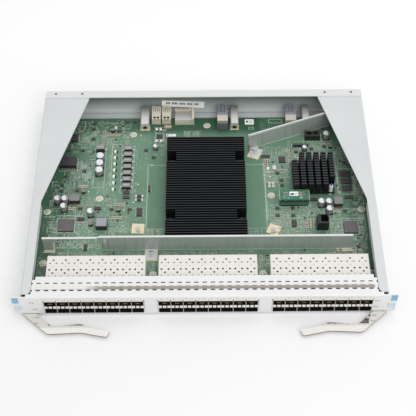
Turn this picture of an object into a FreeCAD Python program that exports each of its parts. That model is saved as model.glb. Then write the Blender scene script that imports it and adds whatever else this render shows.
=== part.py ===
"""Switch line card: a 48-port plug-in card for a modular network chassis.

The card lies flat on its tray.  X runs across the card, Y runs from the front panel (-Y)
to the backplane edge (+Y) and Z is up.  The origin is the middle of the tray's underside.
All sizes are in millimetres.
"""
import FreeCAD, Part
import math
import os

os.makedirs("parts", exist_ok=True)

# ---------------------------------------------------------------- driving dimensions
# Ports: stacked two-high cages for small pluggable modules
PORT_PITCH = 14.25
PORT_COLUMNS = 8
CAGE_COUNT = 3
CAGE_GAP = 15.5
CAGE_WALL = 0.8
CAGE_SHEET = 0.3
CAGE_LENGTH = 64.4
CAGE_SHIFT = 4.0
CAGE_PROUD = 0.4
PORT_HEIGHT = 8.7
SEPARATOR_HEIGHT = 4.6
SEPARATOR_NOSE = 1.1
PORT_DEPTH = 47.0
PORT_SOCKET_REACH = 7.0
PORT_SOCKET_HEIGHT = 4.6
FINGERS_PER_PORT = 1

# Sheet-metal shell
SHELL_HEIGHT = 37.0
SHELL_SHEET = 1.2
SIDE_MARGIN = 20.8
FLANGE_WIDTH = 11.1
FLANGE_START = 5.0
LIP_DEPTH = 12.0
GUSSET_START = 141.0
GUSSET_REACH = 58.0
BEND_RADIUS = 1.8
INNER_BEND_RADIUS = 0.6

# Stations along the card, one after another from the panel face
BAFFLE_SETBACK = 24.0
SINK_SETBACK = 2.6
SINK_DEPTH = 158.5
REAR_AISLE = 57.5
REAR_BAY = 20.0

# Front panel
PANEL_SHEET = 1.5
PANEL_EAR = 9.8
PANEL_FLANGE_DEPTH = 29.0
PANEL_STEP_DEPTH = 24.5
PANEL_STEP_INSET = 3.5
PANEL_SIDE_GAP = 0.5
WINDOW_CLEARANCE = 0.4
WINDOW_HEADROOM = 2.4
SLOT_PITCH = 9.45
SLOT_LENGTH = 5.0
SLOT_WIDTH = 1.7
SLOT_FRONT_ROW = 9.8
SLOT_REAR_ROW = 19.7
SPRING_RIDGE_DEPTH = 3.6
SPRING_RIDGE_CREST = 1.7
SPRING_STRIP = 0.35
EAR_HOLE_RADIUS = 1.3
EAR_HOLE_OFFSET = 6.9
EAR_HOLE_LEVEL = 8.3

# Rear guard
GUARD_SHEET = 1.2
GUARD_STRIP = 12.0
GUARD_CORNER = 4.0
GUARD_FOOT = 14.0
RIVET_INSETS = (13.7, 48.5)
RIVET_SETBACK = 5.2
RIVET_RADIUS = 1.5
RIVET_HEIGHT = 0.5

# Main board
BOARD_LIFT = 3.6
BOARD_THICKNESS = 2.4
BOARD_SIDE_GAP = 3.0
BOARD_FRONT_GAP = 3.5
SCREW_RADIUS = 1.45
SCREW_HOLE_RADIUS = 1.7
SCREW_HEAD_RADIUS = 2.8
SCREW_HEAD_HEIGHT = 1.9
STANDOFF_RADIUS = 3.0

# Heatsinks
SINK_WIDTH = 98.6
SINK_SHIFT = 2.3
SINK_TOP = 31.5
SINK_BASE = 4.0
SINK_FIN = 1.1
SINK_FINS = 43
SINK_NOTCH_WIDTH = 12.0
SINK_NOTCH_DEPTH = 13.5
SINK_NOTCH_SPAN = 93.0
SINK_SCREW_RADIUS = 1.5
SINK_SPRING_RADIUS = 2.8
SINK_SPRING_HEIGHT = 5.0
SINK_SCREW_HEAD = 3.4
CHIP_HEIGHT = 3.0
SWITCH_CHIP_SIZE = 45.0
PIN_SINK_WIDTH = 51.6
PIN_SINK_DEPTH = 53.4
PIN_SINK_TOP = 28.0
PIN_SINK_BASE = 2.5
PIN_COLUMNS = 6
PIN_ROWS = 13
PIN_GAP_ACROSS = 2.85
PIN_GAP_ALONG = 1.85
PIN_ROWS_LEFT_OUT = 3
PUSH_PIN_RADIUS = 2.6
PUSH_PIN_TIP = 3.0
PUSH_PIN_TOP = 24.5
PUSH_PIN_INSET = 5.2
PUSH_PIN_FRONT_INSET = 3.0
PUSH_PIN_REAR_INSET = 9.9

# Daughterboard
DAUGHTER_WIDTH = 37.2
DAUGHTER_DEPTH = 16.5
DAUGHTER_SHEET = 1.6
DAUGHTER_LIFT = 10.4

# Backplane connectors: places across the card, and widths where they differ
GUIDE_BLOCKS = ((-77.6, 11.0), (40.6, 10.0), (135.1, 9.4))
POWER_CONNECTOR_PLACES = (-62.8, -49.4)
SIGNAL_CONNECTOR_PLACES = (24.9, 115.0)
SHROUD_PLACE = -25.4
SHROUD_WIDTH = 25.4
SHROUD_DEPTH = 20.3
SHROUD_SETBACK = 12.4
SHROUD_HEIGHT = 11.0
SHROUD_REAR_WALL = 2.4
SHROUD_SIDE_WALL = 3.1
SHROUD_LIP = 1.1
SHROUD_FIT = 0.1

# Air baffles
BAFFLE_SHEET = 1.0
BAFFLE_TOP = 32.0
BAFFLE_FLANGE = 1.5
BAFFLE_REAR_FLANGE = 1.4
BAFFLE_LEFT_GAP = 15.7
BAFFLE_RIGHT_GAP = 32.0
BAFFLE_TAB = 12.8
BAFFLE_WINDOW_END = 70.2
BAFFLE_FOOT = 14.0
BAFFLE_FOOT_WIDTH = 13.2
DIAGONAL_TOP = 33.5
DIAGONAL_LENGTH = 117.0
DIAGONAL_ANGLE = 21.0
DIAGONAL_SIDE_GAP = 5.9
DIAGONAL_SETBACK = 57.6

# Ejector levers
LEVER_LEVEL = 3.0
LEVER_THICKNESS = 2.0
LEVER_ROOT_RADIUS = 7.5
LEVER_PIN_RADIUS = 2.0
LEVER_PIN_CLEARANCE = 0.05
LEVER_PLAY = 0.2
LEVER_PIVOT_INSET = 6.5
LEVER_PIVOT_SETBACK = 8.5
LEVER_CLAW_REACH = 14.0
PANEL_NOTCH_WIDTH = 16.0
BOARD_NOTCH_WIDTH = 15.4
LEVER_SWING_GAP = 3.0
LEVER_BRACKET_REACH = 4.8
PANEL_LEVER_GAP = 0.4

# ---------------------------------------------------------------- derived stations
CAGE_WIDTH = PORT_COLUMNS * PORT_PITCH + CAGE_WALL
CAGE_SPACING = CAGE_WIDTH + CAGE_GAP
HALF_WIDTH = (CAGE_COUNT * CAGE_WIDTH + (CAGE_COUNT - 1) * CAGE_GAP) / 2 + SIDE_MARGIN
CARD_DEPTH = CAGE_LENGTH + BAFFLE_SETBACK + SINK_SETBACK + SINK_DEPTH + REAR_AISLE + REAR_BAY

FRONT = -CARD_DEPTH / 2
CAGE_REAR = FRONT + CAGE_LENGTH
BAFFLE_FRONT = CAGE_REAR + BAFFLE_SETBACK
SINK_FRONT = BAFFLE_FRONT + SINK_SETBACK
SINK_REAR = SINK_FRONT + SINK_DEPTH
SINK_MIDDLE = (SINK_FRONT + SINK_REAR) / 2
BOARD_REAR = SINK_REAR + REAR_AISLE
REAR = BOARD_REAR + REAR_BAY

BOARD_TOP = BOARD_LIFT + BOARD_THICKNESS
PORT_LOW = BOARD_TOP + CAGE_SHEET
SEPARATOR_LOW = PORT_LOW + PORT_HEIGHT
PORT_HIGH = SEPARATOR_LOW + SEPARATOR_HEIGHT
CAGE_CEILING = PORT_HIGH + PORT_HEIGHT
CAGE_TOP = CAGE_CEILING + CAGE_SHEET
WINDOW_TOP = CAGE_TOP + WINDOW_HEADROOM

FLANGE_EDGE = HALF_WIDTH - FLANGE_WIDTH
FLANGE_UNDERSIDE = SHELL_HEIGHT - SHELL_SHEET
SHELL_BACK = REAR - GUARD_SHEET
LEVER_TOP = LEVER_LEVEL + LEVER_THICKNESS
LEVER_ROOF = LEVER_TOP + LEVER_PLAY
PIVOT_X = HALF_WIDTH - LEVER_PIVOT_INSET
PIVOT_Y = FRONT + LEVER_PIVOT_SETBACK
PANEL_NOTCH_EDGE = HALF_WIDTH - PANEL_NOTCH_WIDTH
CLAW_GATE_END = PIVOT_Y + LEVER_CLAW_REACH + LEVER_SWING_GAP
BRACKET_TOP = SHELL_HEIGHT - PANEL_SHEET - 0.5


# ---------------------------------------------------------------- small tools
def vector(x, y, z=0.0):
    return FreeCAD.Vector(x, y, z)


def block(x0, x1, y0, y1, z0, z1):
    """A box between two corners."""
    return Part.makeBox(x1 - x0, y1 - y0, z1 - z0, vector(x0, y0, z0))


def pad(x, y, width, depth, z0, z1):
    """A box centred on x, y."""
    return block(x - width / 2, x + width / 2, y - depth / 2, y + depth / 2, z0, z1)


def rod(x, y, radius, z0, z1):
    """An upright cylinder."""
    return Part.makeCylinder(radius, z1 - z0, vector(x, y, z0))


def prism(x, y, radius, sides, z0, z1):
    """An upright regular prism, for small turned things and their clearance holes."""
    turn = math.pi / sides
    corners = [(x + radius * math.cos((2 * index + 1) * turn),
                y + radius * math.sin((2 * index + 1) * turn)) for index in range(sides)]
    return plate(corners, z0, z1)


def fuse(solids):
    """Many overlapping or touching solids made into one."""
    body = solids[0].multiFuse(solids[1:]) if len(solids) > 1 else solids[0]
    return body.removeSplitter()


def rounded_wire(corners):
    """A closed flat wire; each corner is (u, v) or (u, v, radius)."""
    count = len(corners)
    edges = []
    points = [vector(corner[0], corner[1]) for corner in corners]
    starts, ends, middles = [], [], []
    for index, corner in enumerate(corners):
        here = points[index]
        radius = corner[2] if len(corner) > 2 else 0.0
        if radius == 0.0:
            starts.append(here)
            ends.append(here)
            middles.append(None)
            continue
        back = (points[index - 1] - here).normalize()
        ahead = (points[(index + 1) % count] - here).normalize()
        half = back.getAngle(ahead) / 2
        trim = radius / math.tan(half)
        bisector = (back + ahead).normalize()
        starts.append(here + back * trim)
        ends.append(here + ahead * trim)
        middles.append(here + bisector * (radius / math.sin(half) - radius))
    for index in range(count):
        if middles[index] is not None:
            edges.append(Part.Arc(starts[index], middles[index], ends[index]).toShape())
        following = (index + 1) % count
        if (starts[following] - ends[index]).Length > 1e-6:
            edges.append(Part.LineSegment(ends[index], starts[following]).toShape())
    return Part.Wire(edges)


def plate(corners, z0, z1):
    """A flat outline in plan, raised from z0 to z1."""
    face = Part.Face(rounded_wire(corners))
    face.translate(vector(0, 0, z0))
    return face.extrude(vector(0, 0, z1 - z0))


def bar_across(profile, x0, x1):
    """A profile of (y, z) corners, run along X."""
    face = Part.Face(rounded_wire(profile))
    face.Placement = FreeCAD.Placement(vector(x0, 0, 0), FreeCAD.Rotation(vector(1, 1, 1), 120))
    return face.extrude(vector(x1 - x0, 0, 0))


def bar_along(profile, y0, y1):
    """A profile of (x, z) corners, run along Y."""
    face = Part.Face(rounded_wire(profile))
    face.Placement = FreeCAD.Placement(vector(0, y0, 0), FreeCAD.Rotation(vector(1, 0, 0), 90))
    return face.extrude(vector(0, y1 - y0, 0))


def bore_along(x, z, radius, y0, y1):
    """A small eight-sided bore along Y."""
    turn = math.pi / 8
    corners = [(x + radius * math.cos((2 * index + 1) * turn),
                z + radius * math.sin((2 * index + 1) * turn)) for index in range(8)]
    return bar_along(corners, y0, y1)


def mirrored(solid):
    """The same piece on the other side of the card."""
    return solid.mirror(vector(0, 0, 0), vector(1, 0, 0))


def save(name, solids):
    """One STEP file for one node, which may hold several like solids."""
    for solid in solids:
        if not solid.isValid() or len(solid.Solids) != 1:
            raise ValueError("unsound solid in " + name)
    shape = solids[0] if len(solids) == 1 else Part.Compound(solids)
    shape.exportStep("parts/" + name + ".step")


# ---------------------------------------------------------------- places on the board
def from_left(across, along):
    """A place measured from the shell's left side and the heatsink's middle."""
    return (across - HALF_WIDTH, SINK_MIDDLE + along)


def from_right(across, along):
    """A place measured from the shell's right side and the heatsink's middle."""
    return (HALF_WIDTH - across, SINK_MIDDLE + along)


def from_sink(across, along):
    """A place measured from the main heatsink's middle."""
    return (SINK_SHIFT + across, SINK_MIDDLE + along)


def from_rear(across, ahead):
    """A place measured from the card's middle and the board's rear edge."""
    return (across, BOARD_REAR - ahead)


def from_rear_left(across, ahead):
    """A place measured from the shell's left side and the board's rear edge."""
    return (across - HALF_WIDTH, BOARD_REAR - ahead)


def from_rear_right(across, ahead):
    """A place measured from the shell's right side and the board's rear edge."""
    return (HALF_WIDTH - across, BOARD_REAR - ahead)


def cage_centres():
    """X of the middle of each cage."""
    first = CAGE_SHIFT - (CAGE_COUNT - 1) * CAGE_SPACING / 2
    return [first + index * CAGE_SPACING for index in range(CAGE_COUNT)]


def column_centres(cage_x):
    """X of the middle of each port column in one cage."""
    first = cage_x - (PORT_COLUMNS - 1) * PORT_PITCH / 2
    return [first + index * PORT_PITCH for index in range(PORT_COLUMNS)]


DIAGONAL_START = from_rear(SINK_SHIFT + SINK_WIDTH / 2 + DIAGONAL_SIDE_GAP, DIAGONAL_SETBACK)


def board_screw_places():
    """Every screw that goes through the board into a standoff."""
    gaps = [(left + right) / 2 for left, right in zip(cage_centres(), cage_centres()[1:])]
    between_cages = [(x, CAGE_REAR - 11.5) for x in gaps]
    left_side = [from_left(14, -22), from_left(16, -100), from_left(77.4, -1)]
    right_side = [from_right(13.5, -21), from_right(10.7, -117.5), from_sink(81.9, 2)]
    inner = [from_sink(-83.7, -49), from_sink(82.5, -52)]
    rear = [from_rear(4.2, 14), from_rear(-92.6, 29.3)]
    return between_cages + left_side + right_side + inner + rear


def baffle_screw_places():
    """The screws that hold the feet of the air baffles."""
    turn = math.radians(DIAGONAL_ANGLE)
    along = BAFFLE_FOOT_WIDTH / 2
    ahead = BAFFLE_FOOT * 0.62
    diagonal = (DIAGONAL_START[0] + along * math.cos(turn) + ahead * math.sin(turn),
                DIAGONAL_START[1] + along * math.sin(turn) - ahead * math.cos(turn))
    return [(from_sink(-66.4, 0)[0], BAFFLE_FRONT - BAFFLE_FOOT * 0.62), diagonal]


# ---------------------------------------------------------------- shell
def base_tray():
    """One folded sheet: floor, side walls, top flanges with their rear gussets and lips."""
    outer, sheet, top = HALF_WIDTH, SHELL_SHEET, SHELL_HEIGHT
    inner = outer - sheet
    right = [(outer, 0, BEND_RADIUS), (outer, top, BEND_RADIUS), (FLANGE_EDGE, top),
             (FLANGE_EDGE, FLANGE_UNDERSIDE), (inner, FLANGE_UNDERSIDE, INNER_BEND_RADIUS),
             (inner, sheet, INNER_BEND_RADIUS)]
    left = [(-corner[0],) + corner[1:] for corner in reversed(right)]
    tray = bar_along(right + left, FRONT + PANEL_SHEET, SHELL_BACK)
    pieces = [tray]
    for side in (1, -1):
        gusset = plate([(side * FLANGE_EDGE, FRONT + GUSSET_START, 12.0),
                        (side * (HALF_WIDTH - GUSSET_REACH), SHELL_BACK - GUARD_STRIP),
                        (side * (HALF_WIDTH - GUSSET_REACH), SHELL_BACK),
                        (side * (HALF_WIDTH - BEND_RADIUS), SHELL_BACK),
                        (side * (HALF_WIDTH - BEND_RADIUS), FRONT + GUSSET_START - 15.0),
                        (side * FLANGE_EDGE, FRONT + GUSSET_START - 15.0)],
                       FLANGE_UNDERSIDE, SHELL_HEIGHT)
        lip = block(FLANGE_EDGE, FLANGE_EDGE + SHELL_SHEET, FRONT + PANEL_STEP_DEPTH + 1.5,
                    FRONT + GUSSET_START - 4.0, SHELL_HEIGHT - LIP_DEPTH, SHELL_HEIGHT)
        pieces.append(gusset)
        pieces.append(lip if side == 1 else mirrored(lip))
    tray = fuse(pieces)
    cuts = []
    for side in (1, -1):
        corner = block(FLANGE_EDGE - 1.0, HALF_WIDTH + 1.0, FRONT, FRONT + FLANGE_START,
                       SHELL_HEIGHT - 4.0, SHELL_HEIGHT + 1.0)
        radius = 6.0
        spare = block(FLANGE_EDGE - 1.0, FLANGE_EDGE + radius, FRONT, FRONT + FLANGE_START + radius,
                      FLANGE_UNDERSIDE - 1.0, SHELL_HEIGHT + 1.0)
        spare = spare.cut(rod(FLANGE_EDGE + radius, FRONT + FLANGE_START + radius, radius,
                              FLANGE_UNDERSIDE - 2.0, SHELL_HEIGHT + 2.0))
        claw_gate = block(HALF_WIDTH - SHELL_SHEET - 1.0, HALF_WIDTH + 1.0, FRONT,
                          CLAW_GATE_END, SHELL_SHEET, LEVER_ROOF + PANEL_LEVER_GAP)
        for cut in (corner, spare, claw_gate):
            cuts.append(cut if side == 1 else mirrored(cut))
    return tray.cut(Part.Compound(cuts)).removeSplitter()


def rear_guard():
    """The folded cover over the backplane connectors: top strip, rear wall and foot."""
    strip = plate([(-HALF_WIDTH, REAR - GUARD_STRIP, 1.0), (HALF_WIDTH, REAR - GUARD_STRIP, 1.0),
                   (HALF_WIDTH, REAR, GUARD_CORNER), (-HALF_WIDTH, REAR, GUARD_CORNER)],
                  SHELL_HEIGHT, SHELL_HEIGHT + GUARD_SHEET)
    reach = HALF_WIDTH - GUARD_CORNER
    wall = block(-reach, reach, SHELL_BACK, REAR, 0, SHELL_HEIGHT)
    inner = HALF_WIDTH - SHELL_SHEET - 1.0
    foot = block(-inner, inner, SHELL_BACK - GUARD_FOOT, SHELL_BACK, SHELL_SHEET,
                 SHELL_SHEET + GUARD_SHEET)
    return fuse([strip, wall, foot])


def guard_screws():
    """Low rivets on the guard's strip, two at each end."""
    level = SHELL_HEIGHT + GUARD_SHEET
    xs = [side * (HALF_WIDTH - inset) for inset in RIVET_INSETS for side in (-1, 1)]
    return [prism(x, REAR - RIVET_SETBACK, RIVET_RADIUS, 8, level, level + RIVET_HEIGHT) for x in xs]


# ---------------------------------------------------------------- front panel
def slot_places():
    """X of each slot in the panel's flange, symmetric about the middle."""
    half = FLANGE_EDGE - PANEL_SIDE_GAP - SLOT_LENGTH
    count = int(half // SLOT_PITCH)
    return [index * SLOT_PITCH for index in range(-count, count + 1)]


def front_panel():
    """The panel: a face with three port windows, two ears and a slotted top flange."""
    outer = HALF_WIDTH + PANEL_EAR
    neck = HALF_WIDTH - 6.0
    edge = FLANGE_EDGE - PANEL_SIDE_GAP
    face = block(-neck, neck, FRONT, FRONT + PANEL_SHEET, 0, SHELL_HEIGHT)
    flange = block(-neck, neck, FRONT, FRONT + PANEL_FLANGE_DEPTH,
                   SHELL_HEIGHT - PANEL_SHEET, SHELL_HEIGHT)
    folded = fuse([face, flange])
    bend = [item for item in folded.Edges
            if abs(item.CenterOfMass.y - FRONT) < 1e-4
            and abs(item.CenterOfMass.z - SHELL_HEIGHT) < 1e-4]
    folded = folded.makeFillet(PANEL_SHEET * 0.8, bend)
    ears = [block(neck, outer, FRONT, FRONT + PANEL_SHEET, 0, SHELL_HEIGHT)]
    ears.append(mirrored(ears[0]))
    panel = fuse([folded] + ears)

    cuts = []
    low = SHELL_HEIGHT - PANEL_SHEET - 0.5
    high = SHELL_HEIGHT + 0.5
    beyond = FRONT + PANEL_FLANGE_DEPTH + 1.0
    for side in (1, -1):
        beside = [block(edge, neck + 1.0, FRONT + FLANGE_START, beyond, low, high),
                  block(edge - PANEL_STEP_INSET, neck + 1.0, FRONT + PANEL_STEP_DEPTH,
                        beyond, low, high),
                  block(PANEL_NOTCH_EDGE, outer + 1.0, FRONT - 1.0,
                        FRONT + PANEL_SHEET + 1.0, -1.0, LEVER_ROOF + PANEL_LEVER_GAP)]
        for row in (SLOT_FRONT_ROW, SLOT_REAR_ROW):
            beside.append(prism(edge + 0.2, FRONT + row, SLOT_WIDTH, 8, low, high))
        hole = Part.makeCylinder(EAR_HOLE_RADIUS, PANEL_SHEET + 2.0,
                                 vector(HALF_WIDTH + EAR_HOLE_OFFSET, FRONT - 1.0, EAR_HOLE_LEVEL),
                                 vector(0, 1, 0))
        beside.append(hole)
        for cut in beside:
            cuts.append(cut if side == 1 else mirrored(cut))
    for cage_x in cage_centres():
        half = CAGE_WIDTH / 2 + WINDOW_CLEARANCE
        cuts.append(block(cage_x - half, cage_x + half, FRONT - 1.0, FRONT + PANEL_SHEET + 1.0,
                          BOARD_TOP, WINDOW_TOP))
    for x in slot_places():
        for row in (SLOT_FRONT_ROW, SLOT_REAR_ROW):
            cuts.append(pad(x, FRONT + row, SLOT_LENGTH, SLOT_WIDTH, low, high))
    return panel.cut(Part.Compound(cuts))


def finger_gasket():
    """A spring strip on the flange: one ridge, and a tongue into each rear slot."""
    level = SHELL_HEIGHT
    front = FRONT + SLOT_FRONT_ROW + SLOT_WIDTH / 2 + 0.3
    back = FRONT + SLOT_REAR_ROW - SLOT_WIDTH / 2
    depth = SPRING_RIDGE_DEPTH
    crest = SPRING_RIDGE_CREST
    profile = [(front, level), (front + 0.16 * depth, level + 0.75 * crest),
               (front + 0.4 * depth, level + crest), (front + 0.7 * depth, level + 0.8 * crest),
               (front + depth, level + SPRING_STRIP), (front + depth, level)]
    reach = slot_places()[-1] + SLOT_LENGTH * 0.8
    ridge = bar_across(profile, -reach, reach)
    tongues = [block(x - SLOT_LENGTH / 2, x + SLOT_LENGTH / 2, front + depth, back,
                     level, level + SPRING_STRIP) for x in slot_places()]
    return fuse([ridge] + tongues)


def panel_end_pads():
    """A coloured pad at the top of each ear."""
    outer = HALF_WIDTH + PANEL_EAR
    right = block(outer - 7.2, outer, FRONT - 0.4, FRONT, SHELL_HEIGHT - 10.6, SHELL_HEIGHT)
    return [right, mirrored(right)]


# ---------------------------------------------------------------- port cages
def cage_shell(cage_x):
    """The folded cage: roof, floor, two side walls and a back, open to the front."""
    half = CAGE_WIDTH / 2
    outside = block(cage_x - half, cage_x + half, FRONT - CAGE_PROUD, CAGE_REAR,
                    BOARD_TOP, CAGE_TOP)
    inside = block(cage_x - half + CAGE_WALL, cage_x + half - CAGE_WALL,
                   FRONT - CAGE_PROUD - 1.0, CAGE_REAR - CAGE_WALL, PORT_LOW, CAGE_CEILING)
    return outside.cut(inside)


def port_dividers(cage_x):
    """Upright walls between neighbouring port columns, as far back as the sockets."""
    walls = []
    for column_x in column_centres(cage_x)[1:]:
        x = column_x - PORT_PITCH / 2
        walls.append(block(x - CAGE_WALL / 2, x + CAGE_WALL / 2, FRONT - CAGE_PROUD,
                           FRONT + PORT_DEPTH - PORT_SOCKET_REACH, PORT_LOW, CAGE_CEILING))
    return walls


def port_separators(cage_x):
    """The shelf between upper and lower port, with a bevelled nose proud of the panel."""
    half = (PORT_PITCH - CAGE_WALL) / 2
    nose = FRONT - SEPARATOR_NOSE
    back = FRONT + PORT_DEPTH - PORT_SOCKET_REACH
    low, high = SEPARATOR_LOW, PORT_HIGH
    bevel = SEPARATOR_NOSE
    profile = [(nose, low + bevel), (nose + bevel, low), (back, low), (back, high),
               (nose + bevel, high), (nose, high - bevel)]
    return [bar_across(profile, x - half, x + half) for x in column_centres(cage_x)]


def port_sockets(cage_x):
    """The stacked connector behind a cage's ports: a body with two rows of edge sockets."""
    half = CAGE_WIDTH / 2 - CAGE_WALL
    back = CAGE_REAR - CAGE_WALL
    front = FRONT + PORT_DEPTH
    mouth = front - PORT_SOCKET_REACH
    rise = (PORT_HEIGHT - PORT_SOCKET_HEIGHT) / 2
    profile = [(back, PORT_LOW), (back, CAGE_CEILING), (front, CAGE_CEILING)]
    for floor in (PORT_HIGH, PORT_LOW):
        top = floor + PORT_HEIGHT - rise
        profile += [(front, top), (mouth, top), (mouth, floor + rise), (front, floor + rise)]
    profile += [(front, PORT_LOW)]
    return [bar_across(profile, cage_x - half, cage_x + half)]


def port_gasket(cage_x):
    """Spring fingers that close the gap between a cage's roof and its window."""
    half = CAGE_WIDTH / 2 - 0.4
    low = CAGE_TOP
    front = FRONT - SEPARATOR_NOSE
    profile = [(front, low), (front, low + 1.0), (FRONT + 0.6, WINDOW_TOP - 0.3),
               (FRONT + 1.4, WINDOW_TOP - 0.3), (FRONT + 6.0, low + 0.3), (FRONT + 6.0, low)]
    strip = bar_across(profile, cage_x - half, cage_x + half)
    finger = PORT_PITCH / FINGERS_PER_PORT
    count = int(2 * half // finger)
    slits = [block(cage_x + (index - count / 2) * finger - 0.35,
                   cage_x + (index - count / 2) * finger + 0.35,
                   front - 1.0, FRONT + 4.5, low + 0.45, WINDOW_TOP)
             for index in range(count + 1)]
    return strip.cut(Part.Compound(slits))


# ---------------------------------------------------------------- board
def main_board():
    """The main board, notched at its front corners for the levers and drilled for screws."""
    side = HALF_WIDTH - BOARD_SIDE_GAP
    notch_x = HALF_WIDTH - BOARD_NOTCH_WIDTH
    front = FRONT + BOARD_FRONT_GAP
    right = [(notch_x, front), (notch_x, CLAW_GATE_END, 2.0), (side, CLAW_GATE_END, 2.0),
             (side, BOARD_REAR, 3.0)]
    left = [(-corner[0],) + corner[1:] for corner in reversed(right)]
    board = plate(right + left, BOARD_LIFT, BOARD_TOP)
    holes = [prism(x, y, SCREW_HOLE_RADIUS, 6, BOARD_LIFT - 1.0, BOARD_TOP + 1.0)
             for x, y in board_screw_places() + baffle_screw_places()]
    return board.cut(Part.Compound(holes))


def standoff(x, y):
    """A hexagonal post on the tray's floor, with a blind hole for its screw."""
    post = prism(x, y, STANDOFF_RADIUS, 6, SHELL_SHEET, BOARD_LIFT)
    return post.cut(prism(x, y, SCREW_RADIUS, 6, SHELL_SHEET + 0.6, BOARD_LIFT + 1.0))


def screw(x, y, seat):
    """A low-headed screw, seated on a surface and reaching into its standoff."""
    head = prism(x, y, SCREW_HEAD_RADIUS, 8, seat, seat + SCREW_HEAD_HEIGHT)
    return fuse([head, prism(x, y, SCREW_RADIUS, 6, SHELL_SHEET + 0.6, seat)])


# ---------------------------------------------------------------- heatsinks
def main_heatsink():
    """A black finned block; its fins run across the card and four notches clear the screws."""
    left = SINK_SHIFT - SINK_WIDTH / 2
    right = left + SINK_WIDTH
    bottom = BOARD_TOP + CHIP_HEIGHT
    body = block(left, right, SINK_FRONT, SINK_REAR, bottom, SINK_TOP)
    pitch = (SINK_DEPTH - SINK_FIN) / (SINK_FINS - 1)
    cuts = []
    for index in range(SINK_FINS - 1):
        y = SINK_FRONT + SINK_FIN + index * pitch
        cuts.append(block(left - 1.0, right + 1.0, y, y + pitch - SINK_FIN,
                          bottom + SINK_BASE, SINK_TOP + 1.0))
    for x, y in sink_notches():
        outward = 1 if x > SINK_SHIFT else -1
        middle = x + outward * 2.0
        cuts.append(pad(middle, y, SINK_NOTCH_WIDTH + 4.0, SINK_NOTCH_DEPTH,
                        bottom + SINK_BASE, SINK_TOP + 1.0))
        cuts.append(prism(x, y, SINK_SCREW_RADIUS + 0.3, 8, bottom - 1.0, bottom + SINK_BASE + 1.0))
    return body.cut(Part.Compound(cuts))


def sink_notches():
    """Centres of the four screw clearances of the main heatsink."""
    across = SINK_WIDTH / 2 - SINK_NOTCH_WIDTH / 2
    return [(SINK_SHIFT + side * across, SINK_MIDDLE + end * SINK_NOTCH_SPAN / 2)
            for side in (-1, 1) for end in (-1, 1)]


def sink_screw(x, y):
    """A shoulder screw with its spring as a sleeve, from the board through the base."""
    seat = BOARD_TOP + CHIP_HEIGHT + SINK_BASE
    shank = prism(x, y, SINK_SCREW_RADIUS, 8, BOARD_TOP, seat)
    spring = prism(x, y, SINK_SPRING_RADIUS, 8, seat, seat + SINK_SPRING_HEIGHT)
    head = prism(x, y, SINK_SCREW_HEAD, 8, seat + SINK_SPRING_HEIGHT, seat + SINK_SPRING_HEIGHT + 2.0)
    return fuse([shank, spring, head])


def pin_sink_origin():
    """The left front corner of the small heatsink."""
    return from_right(96.6, 1.8)


def pin_heatsink():
    """The small heatsink: a base with upright pins, some left out round its two push pins."""
    x0, y0 = pin_sink_origin()
    bottom = BOARD_TOP + CHIP_HEIGHT
    base = block(x0, x0 + PIN_SINK_WIDTH, y0, y0 + PIN_SINK_DEPTH, bottom, bottom + PIN_SINK_BASE)
    pitch_x = (PIN_SINK_WIDTH + PIN_GAP_ACROSS) / PIN_COLUMNS
    pitch_y = (PIN_SINK_DEPTH + PIN_GAP_ALONG) / PIN_ROWS
    solids = [base]
    for column in range(PIN_COLUMNS):
        for row in range(PIN_ROWS):
            near_left_pin = column == 0 and row >= PIN_ROWS - PIN_ROWS_LEFT_OUT
            near_right_pin = column == PIN_COLUMNS - 1 and row < PIN_ROWS_LEFT_OUT
            if near_left_pin or near_right_pin:
                continue
            x = x0 + column * pitch_x
            y = y0 + row * pitch_y
            solids.append(block(x, x + pitch_x - PIN_GAP_ACROSS, y, y + pitch_y - PIN_GAP_ALONG,
                                bottom + PIN_SINK_BASE, PIN_SINK_TOP))
    body = fuse(solids)
    holes = [prism(x, y, PUSH_PIN_RADIUS * 0.6 + 0.2, 8, bottom - 1.0, bottom + PIN_SINK_BASE + 1.0)
             for x, y in push_pin_places()]
    return body.cut(Part.Compound(holes))


def push_pin_places():
    """The rear left and the front right push pin."""
    x0, y0 = pin_sink_origin()
    return [(x0 + PUSH_PIN_INSET, y0 + PIN_SINK_DEPTH - PUSH_PIN_REAR_INSET),
            (x0 + PIN_SINK_WIDTH - PUSH_PIN_INSET, y0 + PUSH_PIN_FRONT_INSET)]


def push_pin(x, y):
    """A plastic push pin: shank through the base, collar and tall head."""
    seat = BOARD_TOP + CHIP_HEIGHT + PIN_SINK_BASE
    shank = prism(x, y, PUSH_PIN_RADIUS * 0.6, 8, BOARD_TOP, seat)
    barrel = prism(x, y, PUSH_PIN_RADIUS, 8, seat, PUSH_PIN_TOP - PUSH_PIN_TIP)
    tip = prism(x, y, PUSH_PIN_RADIUS * 0.6, 8, PUSH_PIN_TOP - PUSH_PIN_TIP, PUSH_PIN_TOP)
    return fuse([shank, barrel, tip])


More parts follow.
